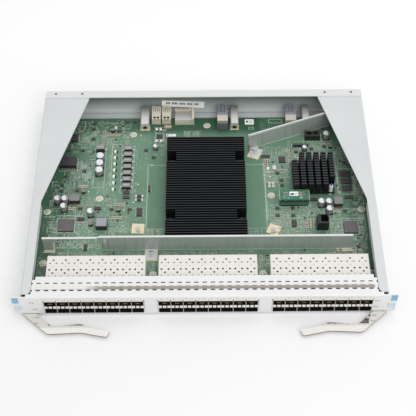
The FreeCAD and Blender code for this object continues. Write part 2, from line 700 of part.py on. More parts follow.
# ---------------------------------------------------------------- air baffles
def long_baffle():
    """The long folded sheet behind the cages: web, top flange, end tab, feet and a cut-away."""
    left = -HALF_WIDTH + BAFFLE_LEFT_GAP
    right = HALF_WIDTH - BAFFLE_RIGHT_GAP
    front = BAFFLE_FRONT
    back = front + BAFFLE_SHEET
    foot_x = from_sink(-66.4, 0)[0]
    window_left = left + BAFFLE_TAB
    window_right = left + BAFFLE_WINDOW_END
    window_top = BAFFLE_TOP - 1.6
    web = block(left, right, front, back, BOARD_TOP, BAFFLE_TOP)
    window = bar_along([(window_left + 0.8, BOARD_TOP - 1.0), (window_right, BOARD_TOP - 1.0),
                        (window_right, window_top), (window_left + 3.5, window_top)],
                       front - 1.0, back + 1.0)
    wide_flange = plate([(left, front - BAFFLE_FLANGE), (window_right - 7.0, front - BAFFLE_FLANGE),
                         (window_right - 3.0, front), (window_right - 3.0, back), (left, back)],
                        BAFFLE_TOP - BAFFLE_SHEET, BAFFLE_TOP)
    flange = block(window_right - 3.0, right, front, back + BAFFLE_REAR_FLANGE,
                   BAFFLE_TOP - BAFFLE_SHEET, BAFFLE_TOP)
    lug = block(window_right + 2.4, window_right + 6.2, front - 3.0, front,
                BOARD_TOP + 9.8, BOARD_TOP + 19.5)
    tongue = block(window_right - 2.0, window_right - 1.0, front, back,
                   BOARD_TOP + 9.7, BAFFLE_TOP - 1.0)
    foot_high = BOARD_TOP + BAFFLE_SHEET
    centre_foot = block(foot_x - BAFFLE_FOOT_WIDTH / 2, foot_x + BAFFLE_FOOT_WIDTH / 2,
                        front - BAFFLE_FOOT, back, BOARD_TOP, foot_high)
    end_foot = block(left + 1.0, window_left - 0.4, front - 1.6, back, BOARD_TOP, foot_high)
    right_foot = block(right - 18.0, right, front - 1.4, back, BOARD_TOP, foot_high)
    baffle = fuse([web.cut(window), wide_flange, flange, lug, tongue, centre_foot, end_foot,
                   right_foot])
    screw_x, screw_y = baffle_screw_places()[0]
    cuts = [prism(screw_x, screw_y, SCREW_HOLE_RADIUS, 6, BOARD_TOP - 1.0, foot_high + 1.0),
            pad(foot_x, front - 2.6, 5.4, 1.4, BOARD_TOP - 1.0, foot_high + 1.0)]
    return baffle.cut(Part.Compound(cuts))


def diagonal_baffle():
    """The slanting sheet behind the heatsinks, with one slotted foot at its left end."""
    back = BAFFLE_SHEET
    web = block(0, DIAGONAL_LENGTH, 0, back, BOARD_TOP, DIAGONAL_TOP)
    rim = block(0, DIAGONAL_LENGTH, 0, back + 0.6, DIAGONAL_TOP - BAFFLE_SHEET, DIAGONAL_TOP)
    foot = block(0, BAFFLE_FOOT_WIDTH, -BAFFLE_FOOT, back, BOARD_TOP, BOARD_TOP + BAFFLE_SHEET)
    gore = plate([(0, 0), (0, -5.0), (BAFFLE_SHEET, -5.0), (BAFFLE_SHEET, 0)],
                 BOARD_TOP, BOARD_TOP + 12.0)
    baffle = fuse([web, rim, foot, gore])
    cuts = [prism(BAFFLE_FOOT_WIDTH / 2, -BAFFLE_FOOT * 0.62, SCREW_HOLE_RADIUS, 6,
                  BOARD_TOP - 1.0, BOARD_TOP + 2.0),
            pad(BAFFLE_FOOT_WIDTH / 2, -2.6, 5.4, 1.4, BOARD_TOP - 1.0, BOARD_TOP + 2.0)]
    baffle = baffle.cut(Part.Compound(cuts))
    baffle.rotate(vector(0, 0, 0), vector(0, 0, 1), DIAGONAL_ANGLE)
    baffle.translate(vector(DIAGONAL_START[0], DIAGONAL_START[1], 0))
    return baffle


# ---------------------------------------------------------------- connectors
def guide_socket(x, width):
    """A die-cast guide block at the rear edge, with a round socket in its front."""
    back = BOARD_REAR + 11.5
    front = BOARD_REAR - 21.0
    body = block(x - width / 2, x + width / 2, front, back, BOARD_TOP, BOARD_TOP + 12.0)
    body = body.makeChamfer(1.0, [item for item in body.Edges
                                  if item.CenterOfMass.z > BOARD_TOP + 11.9
                                  and abs(item.CenterOfMass.x - x) > 1.0])
    socket = bore_along(x, BOARD_TOP + 4.2, width * 0.28, front - 1.0, front + 8.0)
    guide = bore_along(x, BOARD_TOP + 6.0, width * 0.3, back - 12.0, back + 1.0)
    return body.cut(Part.Compound([socket, guide]))


def power_connector(x):
    """An ivory power connector: waisted plan, notched rear, grooved top, two front sockets."""
    back = BOARD_REAR + 12.5
    front = BOARD_REAR - 11.0
    top = BOARD_TOP + 10.5
    body = plate([(x - 5.9, front), (x + 5.9, front), (x + 5.5, front + 6.0), (x + 6.0, front + 9.0),
                  (x + 6.0, back - 1.0), (x + 5.0, back), (x - 5.0, back), (x - 6.0, back - 1.0),
                  (x - 6.0, front + 9.0), (x - 5.5, front + 6.0)], BOARD_TOP, top)
    cuts = []
    for offset in (-1.9, 1.9):
        cuts.append(block(x + offset - 0.6, x + offset + 0.6, back - 9.0, back - 4.0,
                          top - 1.2, top + 1.0))
        cuts.append(block(x + offset - 0.5, x + offset + 0.5, back - 1.4, back + 1.0,
                          top - 7.0, top + 1.0))
        cuts.append(bore_along(x + offset, top - 2.5, 1.6, front - 1.0, front + 4.0))
    return body.cut(Part.Compound(cuts))


def signal_connector(x):
    """A shielded backplane connector: plain front block and a ribbed rear shroud."""
    width = 13.8
    back = BOARD_REAR + 12.0
    front = BOARD_REAR - 22.4
    step = front + 10.0
    top = BOARD_TOP + 13.0
    body = fuse([block(x - width / 2, x + width / 2, front, step, BOARD_TOP, top),
                 block(x - width / 2, x + width / 2, step, back, BOARD_TOP, top - 1.6)])
    cuts = []
    for offset in (-3.4, 0.0, 3.4):
        cuts.append(block(x + offset - 0.5, x + offset + 0.5, back - 12.0, back + 1.0,
                          top - 3.4, top))
    for setback in (4.0, 8.0):
        cuts.append(block(x - width / 2 - 1.0, x + width / 2 + 1.0, back - setback - 0.8,
                          back - setback, top - 2.8, top))
    return body.cut(Part.Compound(cuts))


def shroud_frame():
    """An ivory header frame: tall notched rear wall, tall right wall and a low front lip."""
    left = SHROUD_PLACE - SHROUD_WIDTH / 2
    right = SHROUD_PLACE + SHROUD_WIDTH / 2
    front = BOARD_REAR - SHROUD_SETBACK
    rear = front + SHROUD_DEPTH
    top = BOARD_TOP + SHROUD_HEIGHT
    rear_wall = block(left, right, rear - SHROUD_REAR_WALL, rear, BOARD_TOP, top)
    right_wall = block(right - SHROUD_SIDE_WALL, right, front, rear, BOARD_TOP, top)
    lip = block(left, right, front, front + SHROUD_LIP, BOARD_TOP, BOARD_TOP + 3.5)
    notches = [block(left + at - 0.8, left + at + 0.8, rear - SHROUD_REAR_WALL - 1.0, rear + 1.0,
                     top - 0.7, top + 1.0) for at in (5.5, 11.0, 16.5)]
    return fuse([rear_wall, right_wall, lip]).cut(Part.Compound(notches))


def shroud_core():
    """The metal block that sits inside the ivory frame."""
    left = SHROUD_PLACE - SHROUD_WIDTH / 2
    right = SHROUD_PLACE + SHROUD_WIDTH / 2
    front = BOARD_REAR - SHROUD_SETBACK
    return block(left, right - SHROUD_SIDE_WALL - SHROUD_FIT, front + SHROUD_LIP + SHROUD_FIT,
                 front + SHROUD_DEPTH - SHROUD_REAR_WALL - SHROUD_FIT, BOARD_TOP, BOARD_TOP + 7.6)


def upright_jack():
    """A black eight-way jack that opens upward."""
    x, y = from_right(64.1, -46.3)
    width, depth, top = 14.3, 14.2, BOARD_TOP + 14.0
    body = pad(x, y, width, depth, BOARD_TOP, top)
    cavity = fuse([pad(x + 1.6, y + 0.6, 8.4, 10.6, BOARD_TOP + 3.0, top + 1.0),
                   pad(x + 5.2, y + 0.6, 3.6, 4.0, BOARD_TOP + 3.0, top + 1.0)])
    step = block(x - width / 2 - 1.0, x - width / 2 + 1.2, y - depth, y + depth, top - 2.0, top + 1.0)
    return body.cut(Part.Compound([cavity, step]))


def twin_connector():
    """A low black connector with two square holes in its top."""
    x, y = from_rear_right(66.4, 37.4)
    width, depth, top = 19.4, 9.2, BOARD_TOP + 8.4
    body = pad(x, y, width, depth, BOARD_TOP, top)
    holes = [pad(x + side * 4.4, y + 0.6, 5.6, 5.2, BOARD_TOP + 2.0, top + 1.0) for side in (-1, 1)]
    return body.cut(Part.Compound(holes))


def strip_header():
    x, y = from_rear_right(82.4, 51.7)
    return pad(x, y, 19.6, 3.2, BOARD_TOP, BOARD_TOP + 3.0)


def daughterboard_place():
    """The daughterboard's middle, just in front of the small heatsink."""
    x0, y0 = pin_sink_origin()
    return x0, y0 - 0.8 - DAUGHTER_DEPTH / 2


def daughterboard():
    x, y = daughterboard_place()
    return pad(x, y, DAUGHTER_WIDTH, DAUGHTER_DEPTH, BOARD_TOP + DAUGHTER_LIFT,
               BOARD_TOP + DAUGHTER_LIFT + DAUGHTER_SHEET)


def daughter_headers():
    """The two tall headers that carry the daughterboard."""
    x, y = daughterboard_place()
    reach = DAUGHTER_DEPTH / 2 - 1.8
    return [pad(x, y + side * reach, DAUGHTER_WIDTH - 3.2, 2.5, BOARD_TOP, BOARD_TOP + DAUGHTER_LIFT)
            for side in (-1, 1)]


# ---------------------------------------------------------------- components on the board
def capacitor_can(x, y, radius, height):
    """A can on its square foot."""
    foot = pad(x, y, 2 * radius + 0.4, 2 * radius + 0.4, BOARD_TOP, BOARD_TOP + 1.6)
    can = prism(x, y, radius, 10, BOARD_TOP + 1.6, BOARD_TOP + height)
    return fuse([foot, can])


def electrolytic_capacitors():
    tall = [from_left(26.0, -7.3), from_left(35.3, -7.4), from_left(34.6, -19.4),
            from_left(68.4, -28.0), from_right(62.9, -14.8), from_right(53.7, -14.9),
            from_right(53.9, -26.5), from_rear_right(48.4, 37.9)]
    low = [from_sink(-65.1, 82.0), from_rear_right(77.8, 58.3)]
    cans = [capacitor_can(x, y, 4.0, 10.3) for x, y in tall]
    return cans + [capacitor_can(x, y, 3.0, 6.6) for x, y in low]


def polymer_capacitors():
    """Three wide cans in a row on the left."""
    return [capacitor_can(*from_left(74.8, 39.8 + step * 11.9), 4.9, 9.4) for step in range(3)]


def chip_inductor(x, y, width, depth, height):
    """A moulded inductor on two low solder tails."""
    body = pad(x, y, width - 1.6, depth, BOARD_TOP, BOARD_TOP + height)
    tails = pad(x, y, width, depth * 0.45, BOARD_TOP, BOARD_TOP + 1.4)
    return fuse([body, tails])


def choke_row():
    """Seven output chokes beside the main heatsink and one by the polymer cans."""
    row = [from_sink(-100.5, 79.3 - step * 10.5) for step in range(7)]
    solids = [chip_inductor(x, y, 11.8, 6.8, 6.0) for x, y in row]
    solids.append(chip_inductor(*from_left(74.4, 80.2), 12.0, 8.0, 7.0))
    return solids


def power_inductors():
    places = [(from_left(47.0, -4.5), 13.0, 10.6, 7.0), (from_left(82.7, -44.4), 13.6, 13.4, 8.0),
              (from_right(41.9, -12.1), 10.6, 11.6, 7.0)]
    solids = []
    for (x, y), width, depth, height in places:
        body = pad(x, y, width, depth, BOARD_TOP, BOARD_TOP + height)
        upper = [item for item in body.Edges
                 if abs(item.CenterOfMass.z - BOARD_TOP - height / 2) < 0.1]
        solids.append(body.makeChamfer(1.2, upper))
    return solids


def drum_inductors():
    """Small round shielded inductors."""
    places = [from_left(56.9, 8.9), from_left(102.0, -21.0), from_left(69.0, -43.0),
              from_rear_left(88.5, 23.2), from_rear_right(43.9, 54.4)]
    return [prism(x, y, 2.9, 10, BOARD_TOP, BOARD_TOP + 4.0) for x, y in places]


def power_module():
    """A black module under the left gusset."""
    x, y = from_left(34.6, 55.0)
    return pad(x, y, 20.3, 15.2, BOARD_TOP + 0.6, BOARD_TOP + 8.0)


def module_pins():
    """The row of pins along each long side of the module."""
    x, y = from_left(34.6, 55.0)
    pins = []
    for step in range(7):
        for side in (-1, 1):
            pins.append(pad(x + (step - 3) * 2.7, y + side * 8.0, 0.8, 0.8, BOARD_TOP, BOARD_TOP + 3.0))
    return pins


def array_chips():
    """The two large logic chips, one at each side."""
    return [pad(*from_left(38.8, -43.8), 18.4, 18.8, BOARD_TOP, BOARD_TOP + 1.6),
            pad(*from_right(29.7, -49.4), 16.4, 18.2, BOARD_TOP, BOARD_TOP + 1.6)]


def memory_chips():
    places = [from_right(29.4, 36.5), from_right(28.8, 24.4), from_right(28.6, 12.4)]
    return [pad(x, y, 12.6, 8.4, BOARD_TOP, BOARD_TOP + 1.2) for x, y in places]


def leaded_chips():
    """Flat leaded packages of middling size."""
    sizes = [(from_sink(-82.6, -23.8), 7.0, 12.0), (from_rear_right(128.7, 70.6), 10.5, 5.2),
             (from_rear_right(108.0, 75.7), 9.0, 9.6), (from_right(98.3, -43.2), 6.4, 9.6),
             (from_left(65.2, -77.6), 4.4, 8.6), (from_rear_left(39.1, 35.5), 9.6, 12.0),
             (from_rear(-58.2, 34.2), 7.4, 7.0)]
    return [pad(x, y, width, depth, BOARD_TOP, BOARD_TOP + 1.7) for (x, y), width, depth in sizes]


def small_chips():
    """Small square packages: regulators, drivers and clock buffers."""
    left = [(33.2, 78.7), (51.1, 79.2), (55.5, 43.7), (32.3, 34.9), (29.1, 20.4), (28.9, 11.0),
            (48.6, 11.4), (54.5, -17.7)]
    rear_left = [(63.6, 10.5), (63.5, 20.2), (63.8, 37.4), (96.8, 24.0), (106.7, 7.5), (116.9, 7.6)]
    middle = [(-77.5, 78.8), (-67.3, 66.3), (-117.3, -19.3), (-95.0, -19.5), (91.2, 38.1),
              (95.7, 26.1), (96.3, 18.0)]
    right = [(117.7, -19.2), (98.7, -19.4), (117.8, -30.7), (98.7, -30.6), (22.7, -79.5),
             (34.4, -24.6), (28.2, 55.1)]
    rear_right = [(68.6, 57.2), (89.0, 62.5), (51.8, 53.4)]
    places = [from_left(*place) for place in left]
    places += [from_rear_left(*place) for place in rear_left]
    places += [from_sink(*place) for place in middle]
    places += [from_right(*place) for place in right]
    places += [from_rear_right(*place) for place in rear_right]
    return [pad(x, y, 4.6, 4.0, BOARD_TOP, BOARD_TOP + 1.3) for x, y in places]


def power_transistors():
    """Black power packages in front of the chokes and beside the main heatsink."""
    wide = [from_sink(-100.2, 7.0), from_sink(-99.9, -0.6), from_left(76.0, -18.1), from_left(56.6, -34.6),
            from_right(28.7, -3.4), from_right(71.5, -6.6)]
    tall = [from_sink(-71.5, 13.4)]
    solids = [pad(x, y, 8.0, 4.6, BOARD_TOP, BOARD_TOP + 2.4) for x, y in wide]
    return solids + [pad(x, y, 2.6, 9.0, BOARD_TOP, BOARD_TOP + 2.0) for x, y in tall]


def crystals():
    return [pad(*from_sink(87.7, 47.0), 4.8, 6.4, BOARD_TOP, BOARD_TOP + 2.0)]


def test_studs():
    """A column of seven bright solder studs beside the chokes."""
    return [prism(*from_sink(-116.6, 76.7 - step * 10.6), 1.7, 8, BOARD_TOP, BOARD_TOP + 1.2)
            for step in range(7)]


# ---------------------------------------------------------------- ejector levers
def lever_right():
    """A flat cranked lever: hooked claw, round root with its bore, elbow and swept grip."""
    px, py = PIVOT_X, PIVOT_Y
    root = rod(px, py, LEVER_ROOT_RADIUS, LEVER_LEVEL, LEVER_TOP)
    claw = plate([(px, py + LEVER_ROOT_RADIUS * 0.9), (px + 8.0, py + 3.0),
                  (px + LEVER_CLAW_REACH, py + 1.6), (px + LEVER_CLAW_REACH, py - 3.2),
                  (px + 8.0, py - 4.6), (px, py - 3.0)], LEVER_LEVEL, LEVER_TOP)
    arm = plate([(px - 7.3, py - 1.8), (px - 8.4, py - 8.8), (px - 27.4, py - 26.7, 4.0),
                 (px - 60.0, py - 23.4, 10.0), (px - 78.0, py - 29.8, 24.0),
                 (px - 94.4, py - 32.4, 1.4), (px - 90.4, py - 41.0, 1.8),
                 (px - 60.5, py - 34.6, 30.0), (px - 23.4, py - 36.6, 8.0),
                 (px + 7.2, py - 9.6), (px + 7.3, py - 1.8)], LEVER_LEVEL, LEVER_TOP)
    lever = fuse([root, claw, arm])
    bore = rod(px, py, LEVER_PIN_RADIUS + LEVER_PIN_CLEARANCE, LEVER_LEVEL - 1.0, LEVER_TOP + 1.0)
    return lever.cut(bore)


def lever_bracket_right():
    """The latch housing behind the panel's corner, which holds the upper end of the pin."""
    return block(PIVOT_X - LEVER_BRACKET_REACH, HALF_WIDTH - SHELL_SHEET, FRONT + PANEL_SHEET,
                 PIVOT_Y + LEVER_BRACKET_REACH, LEVER_ROOF, BRACKET_TOP)


def lever_pin_right():
    """The pin, held between the tray's floor and the latch housing."""
    return rod(PIVOT_X, PIVOT_Y, LEVER_PIN_RADIUS, SHELL_SHEET, LEVER_ROOF)


# ---------------------------------------------------------------- build
def build():
    save("base_tray", [base_tray()])
    save("rear_guard", [rear_guard()])
    save("guard_screws", guard_screws())
    save("front_panel", [front_panel()])
    save("finger_gasket", [finger_gasket()])
    save("panel_end_pads", panel_end_pads())

    cage_names = ("left", "middle", "right")
    for name, cage_x in zip(cage_names, cage_centres()):
        save("cage_" + name, [cage_shell(cage_x)])
        save("port_dividers_" + name, port_dividers(cage_x))
        save("port_separators_" + name, port_separators(cage_x))
        save("port_sockets_" + name, port_sockets(cage_x))
    save("port_gaskets", [port_gasket(cage_x) for cage_x in cage_centres()])

    save("main_board", [main_board()])
    foot_top = BOARD_TOP + BAFFLE_SHEET
    places = board_screw_places() + baffle_screw_places()
    save("board_standoffs", [standoff(x, y) for x, y in places])
    save("board_screws", [screw(x, y, BOARD_TOP) for x, y in board_screw_places()])
    save("baffle_screws", [screw(x, y, foot_top) for x, y in baffle_screw_places()])

    save("switch_chip", [pad(SINK_SHIFT, SINK_MIDDLE, SWITCH_CHIP_SIZE, SWITCH_CHIP_SIZE,
                             BOARD_TOP, BOARD_TOP + CHIP_HEIGHT)])
    save("main_heatsink", [main_heatsink()])
    save("heatsink_screws", [sink_screw(x, y) for x, y in sink_notches()])
    x0, y0 = pin_sink_origin()
    save("processor_chip", [pad(x0 + PIN_SINK_WIDTH / 2, y0 + PIN_SINK_DEPTH / 2, 27.0, 27.0,
                                BOARD_TOP, BOARD_TOP + CHIP_HEIGHT)])
    save("pin_heatsink", [pin_heatsink()])
    save("push_pins", [push_pin(x, y) for x, y in push_pin_places()])

    save("long_baffle", [long_baffle()])
    save("diagonal_baffle", [diagonal_baffle()])

    save("guide_sockets", [guide_socket(x, width) for x, width in GUIDE_BLOCKS])
    save("power_connectors", [power_connector(x) for x in POWER_CONNECTOR_PLACES])
    save("signal_connectors", [signal_connector(x) for x in SIGNAL_CONNECTOR_PLACES])
    save("shroud_frame", [shroud_frame()])
    save("shroud_core", [shroud_core()])
    save("upright_jack", [upright_jack()])
    save("twin_connector", [twin_connector()])
    save("strip_header", [strip_header()])
    save("daughterboard", [daughterboard()])
    save("daughter_headers", daughter_headers())

    save("electrolytic_capacitors", electrolytic_capacitors())
    save("polymer_capacitors", polymer_capacitors())
    save("output_chokes", choke_row())
    save("power_inductors", power_inductors())
    save("drum_inductors", drum_inductors())
    save("power_module", [power_module()])
    save("module_pins", module_pins())
    save("array_chips", array_chips())
    save("memory_chips", memory_chips())
    save("leaded_chips", leaded_chips())
    save("small_chips", small_chips())
    save("power_transistors", power_transistors())
    save("crystals", crystals())
    save("test_studs", test_studs())

    save("lever_right", [lever_right()])
    save("lever_left", [mirrored(lever_right())])
    save("lever_brackets", [lever_bracket_right(), mirrored(lever_bracket_right())])
    save("lever_pins", [lever_pin_right(), mirrored(lever_pin_right())])


build()
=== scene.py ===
"""Looks of the switch line card: finishes, board detail, labels, floor, light and camera.

Lengths are in millimetres, and turned to metres where Blender takes them. Places are measured
from the middle of the card: across to the right, along to the rear, and upwards.
"""
import math
import random

import bmesh
import bpy
from mathutils import Matrix, Vector


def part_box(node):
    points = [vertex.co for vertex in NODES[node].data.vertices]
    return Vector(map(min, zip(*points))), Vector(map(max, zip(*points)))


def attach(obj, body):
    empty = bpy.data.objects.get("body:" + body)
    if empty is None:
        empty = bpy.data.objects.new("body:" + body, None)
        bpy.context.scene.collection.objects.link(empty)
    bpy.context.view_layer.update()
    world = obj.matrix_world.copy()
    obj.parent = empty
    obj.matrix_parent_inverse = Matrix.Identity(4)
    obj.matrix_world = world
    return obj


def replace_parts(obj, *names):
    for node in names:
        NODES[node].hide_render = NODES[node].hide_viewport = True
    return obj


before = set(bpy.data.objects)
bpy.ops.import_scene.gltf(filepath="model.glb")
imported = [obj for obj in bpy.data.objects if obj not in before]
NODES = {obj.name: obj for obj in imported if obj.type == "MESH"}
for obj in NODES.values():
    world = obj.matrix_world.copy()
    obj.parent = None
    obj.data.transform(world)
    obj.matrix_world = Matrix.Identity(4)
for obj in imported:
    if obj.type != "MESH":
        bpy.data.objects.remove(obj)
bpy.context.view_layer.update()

MM = 0.001
CHANCE = random.Random(48)


# ---------------------------------------------------------------- places taken from the frame
def span(node):
    """The node's lowest and highest corners."""
    low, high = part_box(node)
    return Vector(low) / MM, Vector(high) / MM


def solids(node):
    """The lowest and highest corners of each separate solid of a node, from left to right."""
    shell = bmesh.new()
    shell.from_mesh(NODES[node].data)
    bmesh.ops.remove_doubles(shell, verts=shell.verts, dist=1e-6)
    found, seen = [], set()
    for first in shell.verts:
        if first in seen:
            continue
        seen.add(first)
        reached = [first]
        for vertex in reached:
            for edge in vertex.link_edges:
                other = edge.other_vert(vertex)
                if other not in seen:
                    seen.add(other)
                    reached.append(other)
        corners = [[vertex.co[axis] / MM for vertex in reached] for axis in range(3)]
        found.append((Vector([min(values) for values in corners]),
                      Vector([max(values) for values in corners])))
    shell.free()
    return sorted(found, key=lambda pair: tuple(pair[0]))


def centre(low, high):
    """The middle of a box seen from above."""
    return (low.x + high.x) / 2, (low.y + high.y) / 2


def middles(node):
    """The middle of each solid of a node seen from above."""
    return [centre(*pair) for pair in solids(node)]


BOARD_LOW, BOARD_HIGH = span("main_board")
PANEL_LOW, PANEL_HIGH = span("front_panel")
SINK_LOW, SINK_HIGH = span("main_heatsink")
CAGE_HIGH = span("cage_middle")[1]
HALF_WIDTH = span("base_tray")[1].x
REAR = span("rear_guard")[1].y
FRONT, FLANGE_TOP = PANEL_LOW.y, PANEL_HIGH.z
BOARD_TOP, BOARD_REAR = BOARD_HIGH.z, BOARD_HIGH.y
SINK_MIDDLE = ((SINK_LOW + SINK_HIGH) / 2).x
BAFFLE_FOOT = BOARD_TOP + 1.0
PORT_PITCH = 14.25
PORT_COLUMNS = 8
SIDES = ("left", "middle", "right")
CAGE_MIDDLES = [middles("cage_" + side)[0][0] for side in SIDES]
PORT_MIDDLES = [cage + (column - (PORT_COLUMNS - 1) / 2) * PORT_PITCH
                for cage in CAGE_MIDDLES for column in range(PORT_COLUMNS)]


# ---------------------------------------------------------------- materials
FACTOR, UNDER, OVER = 0, 6, 7  # inputs of a colour mix
MIXED = 2  # its output


def colour(code):
    """An sRGB hex code as the linear colour that the shaders take."""
    channels = [int(code[place:place + 2], 16) / 255 for place in (1, 3, 5)]
    linear = [c / 12.92 if c <= 0.04045 else ((c + 0.055) / 1.055) ** 2.4 for c in channels]
    return (*linear, 1.0)


def add(material, kind, inputs, output=0, **settings):
    """Adds one node with its own settings, sets or links its inputs, and gives one output.

    An input is a number, a hex code or another node's output. A mix is of colours unless it
    says otherwise.
    """
    node = material.node_tree.nodes.new("ShaderNode" + kind)
    if kind == "Mix" and not settings:
        settings, output = {"data_type": "RGBA"}, MIXED
    for name, value in settings.items():
        setattr(node, name, value)
    for socket, value in inputs.items() if isinstance(inputs, dict) else enumerate(inputs):
        if isinstance(value, bpy.types.NodeSocket):
            material.node_tree.links.new(value, node.inputs[socket])
        else:
            node.inputs[socket].default_value = colour(value) if isinstance(value, str) else value
    return node.outputs[output]


def start(name, **values):
    """A material whose shader has the given values, and each point's place in millimetres."""
    material = bpy.data.materials.new(name)
    material.use_nodes = True
    shader = material.node_tree.nodes["Principled BSDF"]
    for socket, value in values.items():
        shader.inputs[socket.replace("_", " ")].default_value = value
    place = add(material, "TexCoord", {}, "Object")
    return material, add(material, "VectorMath", (place, (1 / MM,) * 3), operation="MULTIPLY")


def wire(material, **links):
    """Links what feeds the shader."""
    shader = material.node_tree.nodes["Principled BSDF"]
    for socket, source in links.items():
        material.node_tree.links.new(source, shader.inputs[socket.replace("_", " ")])
    return material


def rise(material, place, axis, low, high):
    """A mask that grows from 0 to 1 between two places along one axis."""
    value = add(material, "SeparateXYZ", (place,), axis)
    return add(material, "MapRange", {"Value": value, "From Min": low, "From Max": high})


def mottled(material, place, deep, light, patch, detail=3.0):
    """Soft patches between two colours, about as wide as patch."""
    cloud = add(material, "TexNoise", {"Vector": place, "Scale": 1 / patch, "Detail": detail})
    return add(material, "Mix", {FACTOR: cloud, UNDER: deep, OVER: light})


def grained(material, place, roughness, spread, grain, depth):
    """Roughness and bump from one fine grain, for a worked or moulded surface."""
    fine = add(material, "TexNoise", {"Vector": place, "Scale": 1 / grain, "Detail": 2.0})
    rough = add(material, "MapRange", {"Value": fine, "To Min": roughness - spread,
                                       "To Max": roughness + spread})
    bump = add(material, "Bump", {"Height": fine, "Strength": 0.1, "Distance": depth * MM})
    wire(material, Roughness=rough, Normal=bump)


def rolled_sheet(name, light, dark, metallic, roughness, patch=45.0):
    """Rolled, plated or drawn metal: broad soft patches, a fine grain, a slight unevenness."""
    material, place = start(name, Metallic=metallic)
    grained(material, place, roughness, min(0.06, roughness / 2), 0.35, 0.012)
    return wire(material, Base_Color=mottled(material, place, dark, light, patch))


def moulded(name, light, deep, roughness):
    """Moulded, printed or fired surface: one colour, a faint mottle and a fine spark texture."""
    material, place = start(name)
    grained(material, place, roughness, 0.08, 0.6, 0.03)
    return wire(material, Base_Color=mottled(material, place, deep, light, 6.0, 4.0))


def topped(name, top, side, roughness, grain=0.5, **values):
    """A part with painted light: paler on top than on its sides, as lit from above, with a faint
    mottle.
    """
    material, place = start(name, **values)
    facing = add(material, "NewGeometry", {}, "Normal")
    upward = rise(material, facing, "Z", 0.5, 0.8)
    cloud = add(material, "TexNoise", {"Vector": place, "Scale": 1 / 2.0, "Detail": 3.0})
    cover = add(material, "MapRange", {"Value": cloud, "To Min": 0.8, "To Max": 1.0})
    amount = add(material, "Math", (upward, cover), operation="MULTIPLY")
    tint = add(material, "Mix", {FACTOR: amount, UNDER: side, OVER: top})
    grained(material, place, roughness, 0.08, grain, 0.02)
    return wire(material, Base_Color=tint)


# Zinc-plated steel: pale blue-grey, dull gleam.
ZINC_STEEL = rolled_sheet("zinc_plated_steel", "#DFE2E2", "#D3D6D7", 0.25, 0.5)
# Nickel-plated panel steel: brighter and smoother.
PANEL_STEEL = rolled_sheet("nickel_plated_panel_steel", "#F0F1F0", "#E9EAE9", 0.2, 0.38)
# Nickel-plated walls between the ports: in their own shade, so darker and browner.
DIVIDER_STEEL = rolled_sheet("nickel_plated_divider", "#B5AFA4", "#979186", 0.3, 0.35, 4.0)
# Polished stainless steel mirrors the room; its broad waves bend what it mirrors.
# Its pale top and darker sides are a painted reflection.
POLISHED_STEEL = topped("polished_stainless_steel", "#F9F6F1", "#8E897F", 0.06, 30.0, Metallic=1.0)
# Blackened steel of the latch housings: charcoal with a dull gleam.
BLACK_STEEL = rolled_sheet("blackened_steel", "#303335", "#232527", 0.3, 0.5)
# Spring sheet of the latch tongues: grey in the ports' shade.
SHADED_SPRING = rolled_sheet("shaded_latch_spring", "#85827C", "#6C6964", 0.2, 0.5, 2.0)
# Tin plate of leads, posts and pins: silver, finely streaked.
TIN = rolled_sheet("tin_plated_lead", "#EDEBE4", "#D2CFC8", 0.45, 0.3, 3.0)
# Bright zinc on steel screws: silver with a blue cast.
BLUE_ZINC = rolled_sheet("blue_passivated_zinc", "#E6EFF5", "#B4C6D4", 0.35, 0.25, 1.6)
# Gold flash over nickel on bare pads: pale cream-yellow.
GOLD = rolled_sheet("gold_flashed_pad", "#FBF0D6", "#EED9AA", 0.1, 0.4, 5.0)
# Brass spring contacts: warm brown-yellow glints.
BRASS = rolled_sheet("brass_contact", "#C79A52", "#8F6A38", 0.5, 0.35, 2.0)
# Silver solder on the terminals of the large parts, painted nearly white as the highlight it
# shows.
SOLDER = rolled_sheet("solder_painted_highlight", "#FFFFFF", "#E9E9E7", 0.05, 0.3, 2.0)
# Enamelled copper winding, and the paler flash on a ceramic part's ends: orange-brown.
COPPER = rolled_sheet("enamelled_copper_wire", "#B0683A", "#7E4526", 0.4, 0.35, 1.5)
PALE_COPPER = rolled_sheet("flashed_copper_end", "#E0AE8C", "#C98F6C", 0.3, 0.4, 1.5)
# Brown anodised rivet heads.
BROWN_RIVET = rolled_sheet("brown_anodised_rivet", "#8A6B4C", "#5E4630", 0.3, 0.45, 1.0)
# Deep-drawn aluminium can, its white lacquered top, and the print on it.
CAN_SIDE = rolled_sheet("drawn_aluminium_can", "#B4B4B4", "#858587", 0.35, 0.35, 2.5)
CAN_TOP = moulded("white_lacquered_can_top", "#F7F7F7", "#E6E6E8", 0.4)
CAN_PRINT = moulded("can_top_print", "#A4A3A8", "#8C8B90", 0.5)
SKY_PRINT = moulded("sky_blue_can_print", "#8FD0F2", "#74BDE6", 0.45)
# Black anodised aluminium: matt black, with painted light making it a little greyer on top.
BLACK_ANODISED = topped("black_anodised_aluminium", "#2F3236", "#141619", 0.42, Metallic=0.25)
# Filled epoxy of chip packages: charcoal on top with painted light, near black on the cut sides
# with painted shade.
EPOXY = topped("filled_epoxy_package", "#6B6869", "#2A2A2B", 0.5)
DARK_EPOXY = topped("dark_epoxy_package", "#4B464A", "#1E1D20", 0.5)
# Pressed ferrite and iron powder of the chokes: grey top with painted light, painted shade on the
# sides.
FERRITE = topped("pressed_ferrite", "#9A9C9C", "#34332F", 0.45)
SHIELD = topped("pressed_iron_shield", "#8F8E8C", "#2F2D2B", 0.42)
BLUE_SHIELD = topped("pressed_alloy_shield", "#A6AAB2", "#4A4B50", 0.42)
# Black nylon of connectors, paler on top with painted light and darker on its sides with painted
# shade.
BLACK_PLASTIC = topped("black_nylon", "#2C2D2F", "#17191A", 0.35)
# Near black of contact wells, can bases and choke windings, also used as painted shade in slots,
# holes and on the test studs.
COAL = moulded("black_contact_well", "#17191A", "#0E0F10", 0.6)
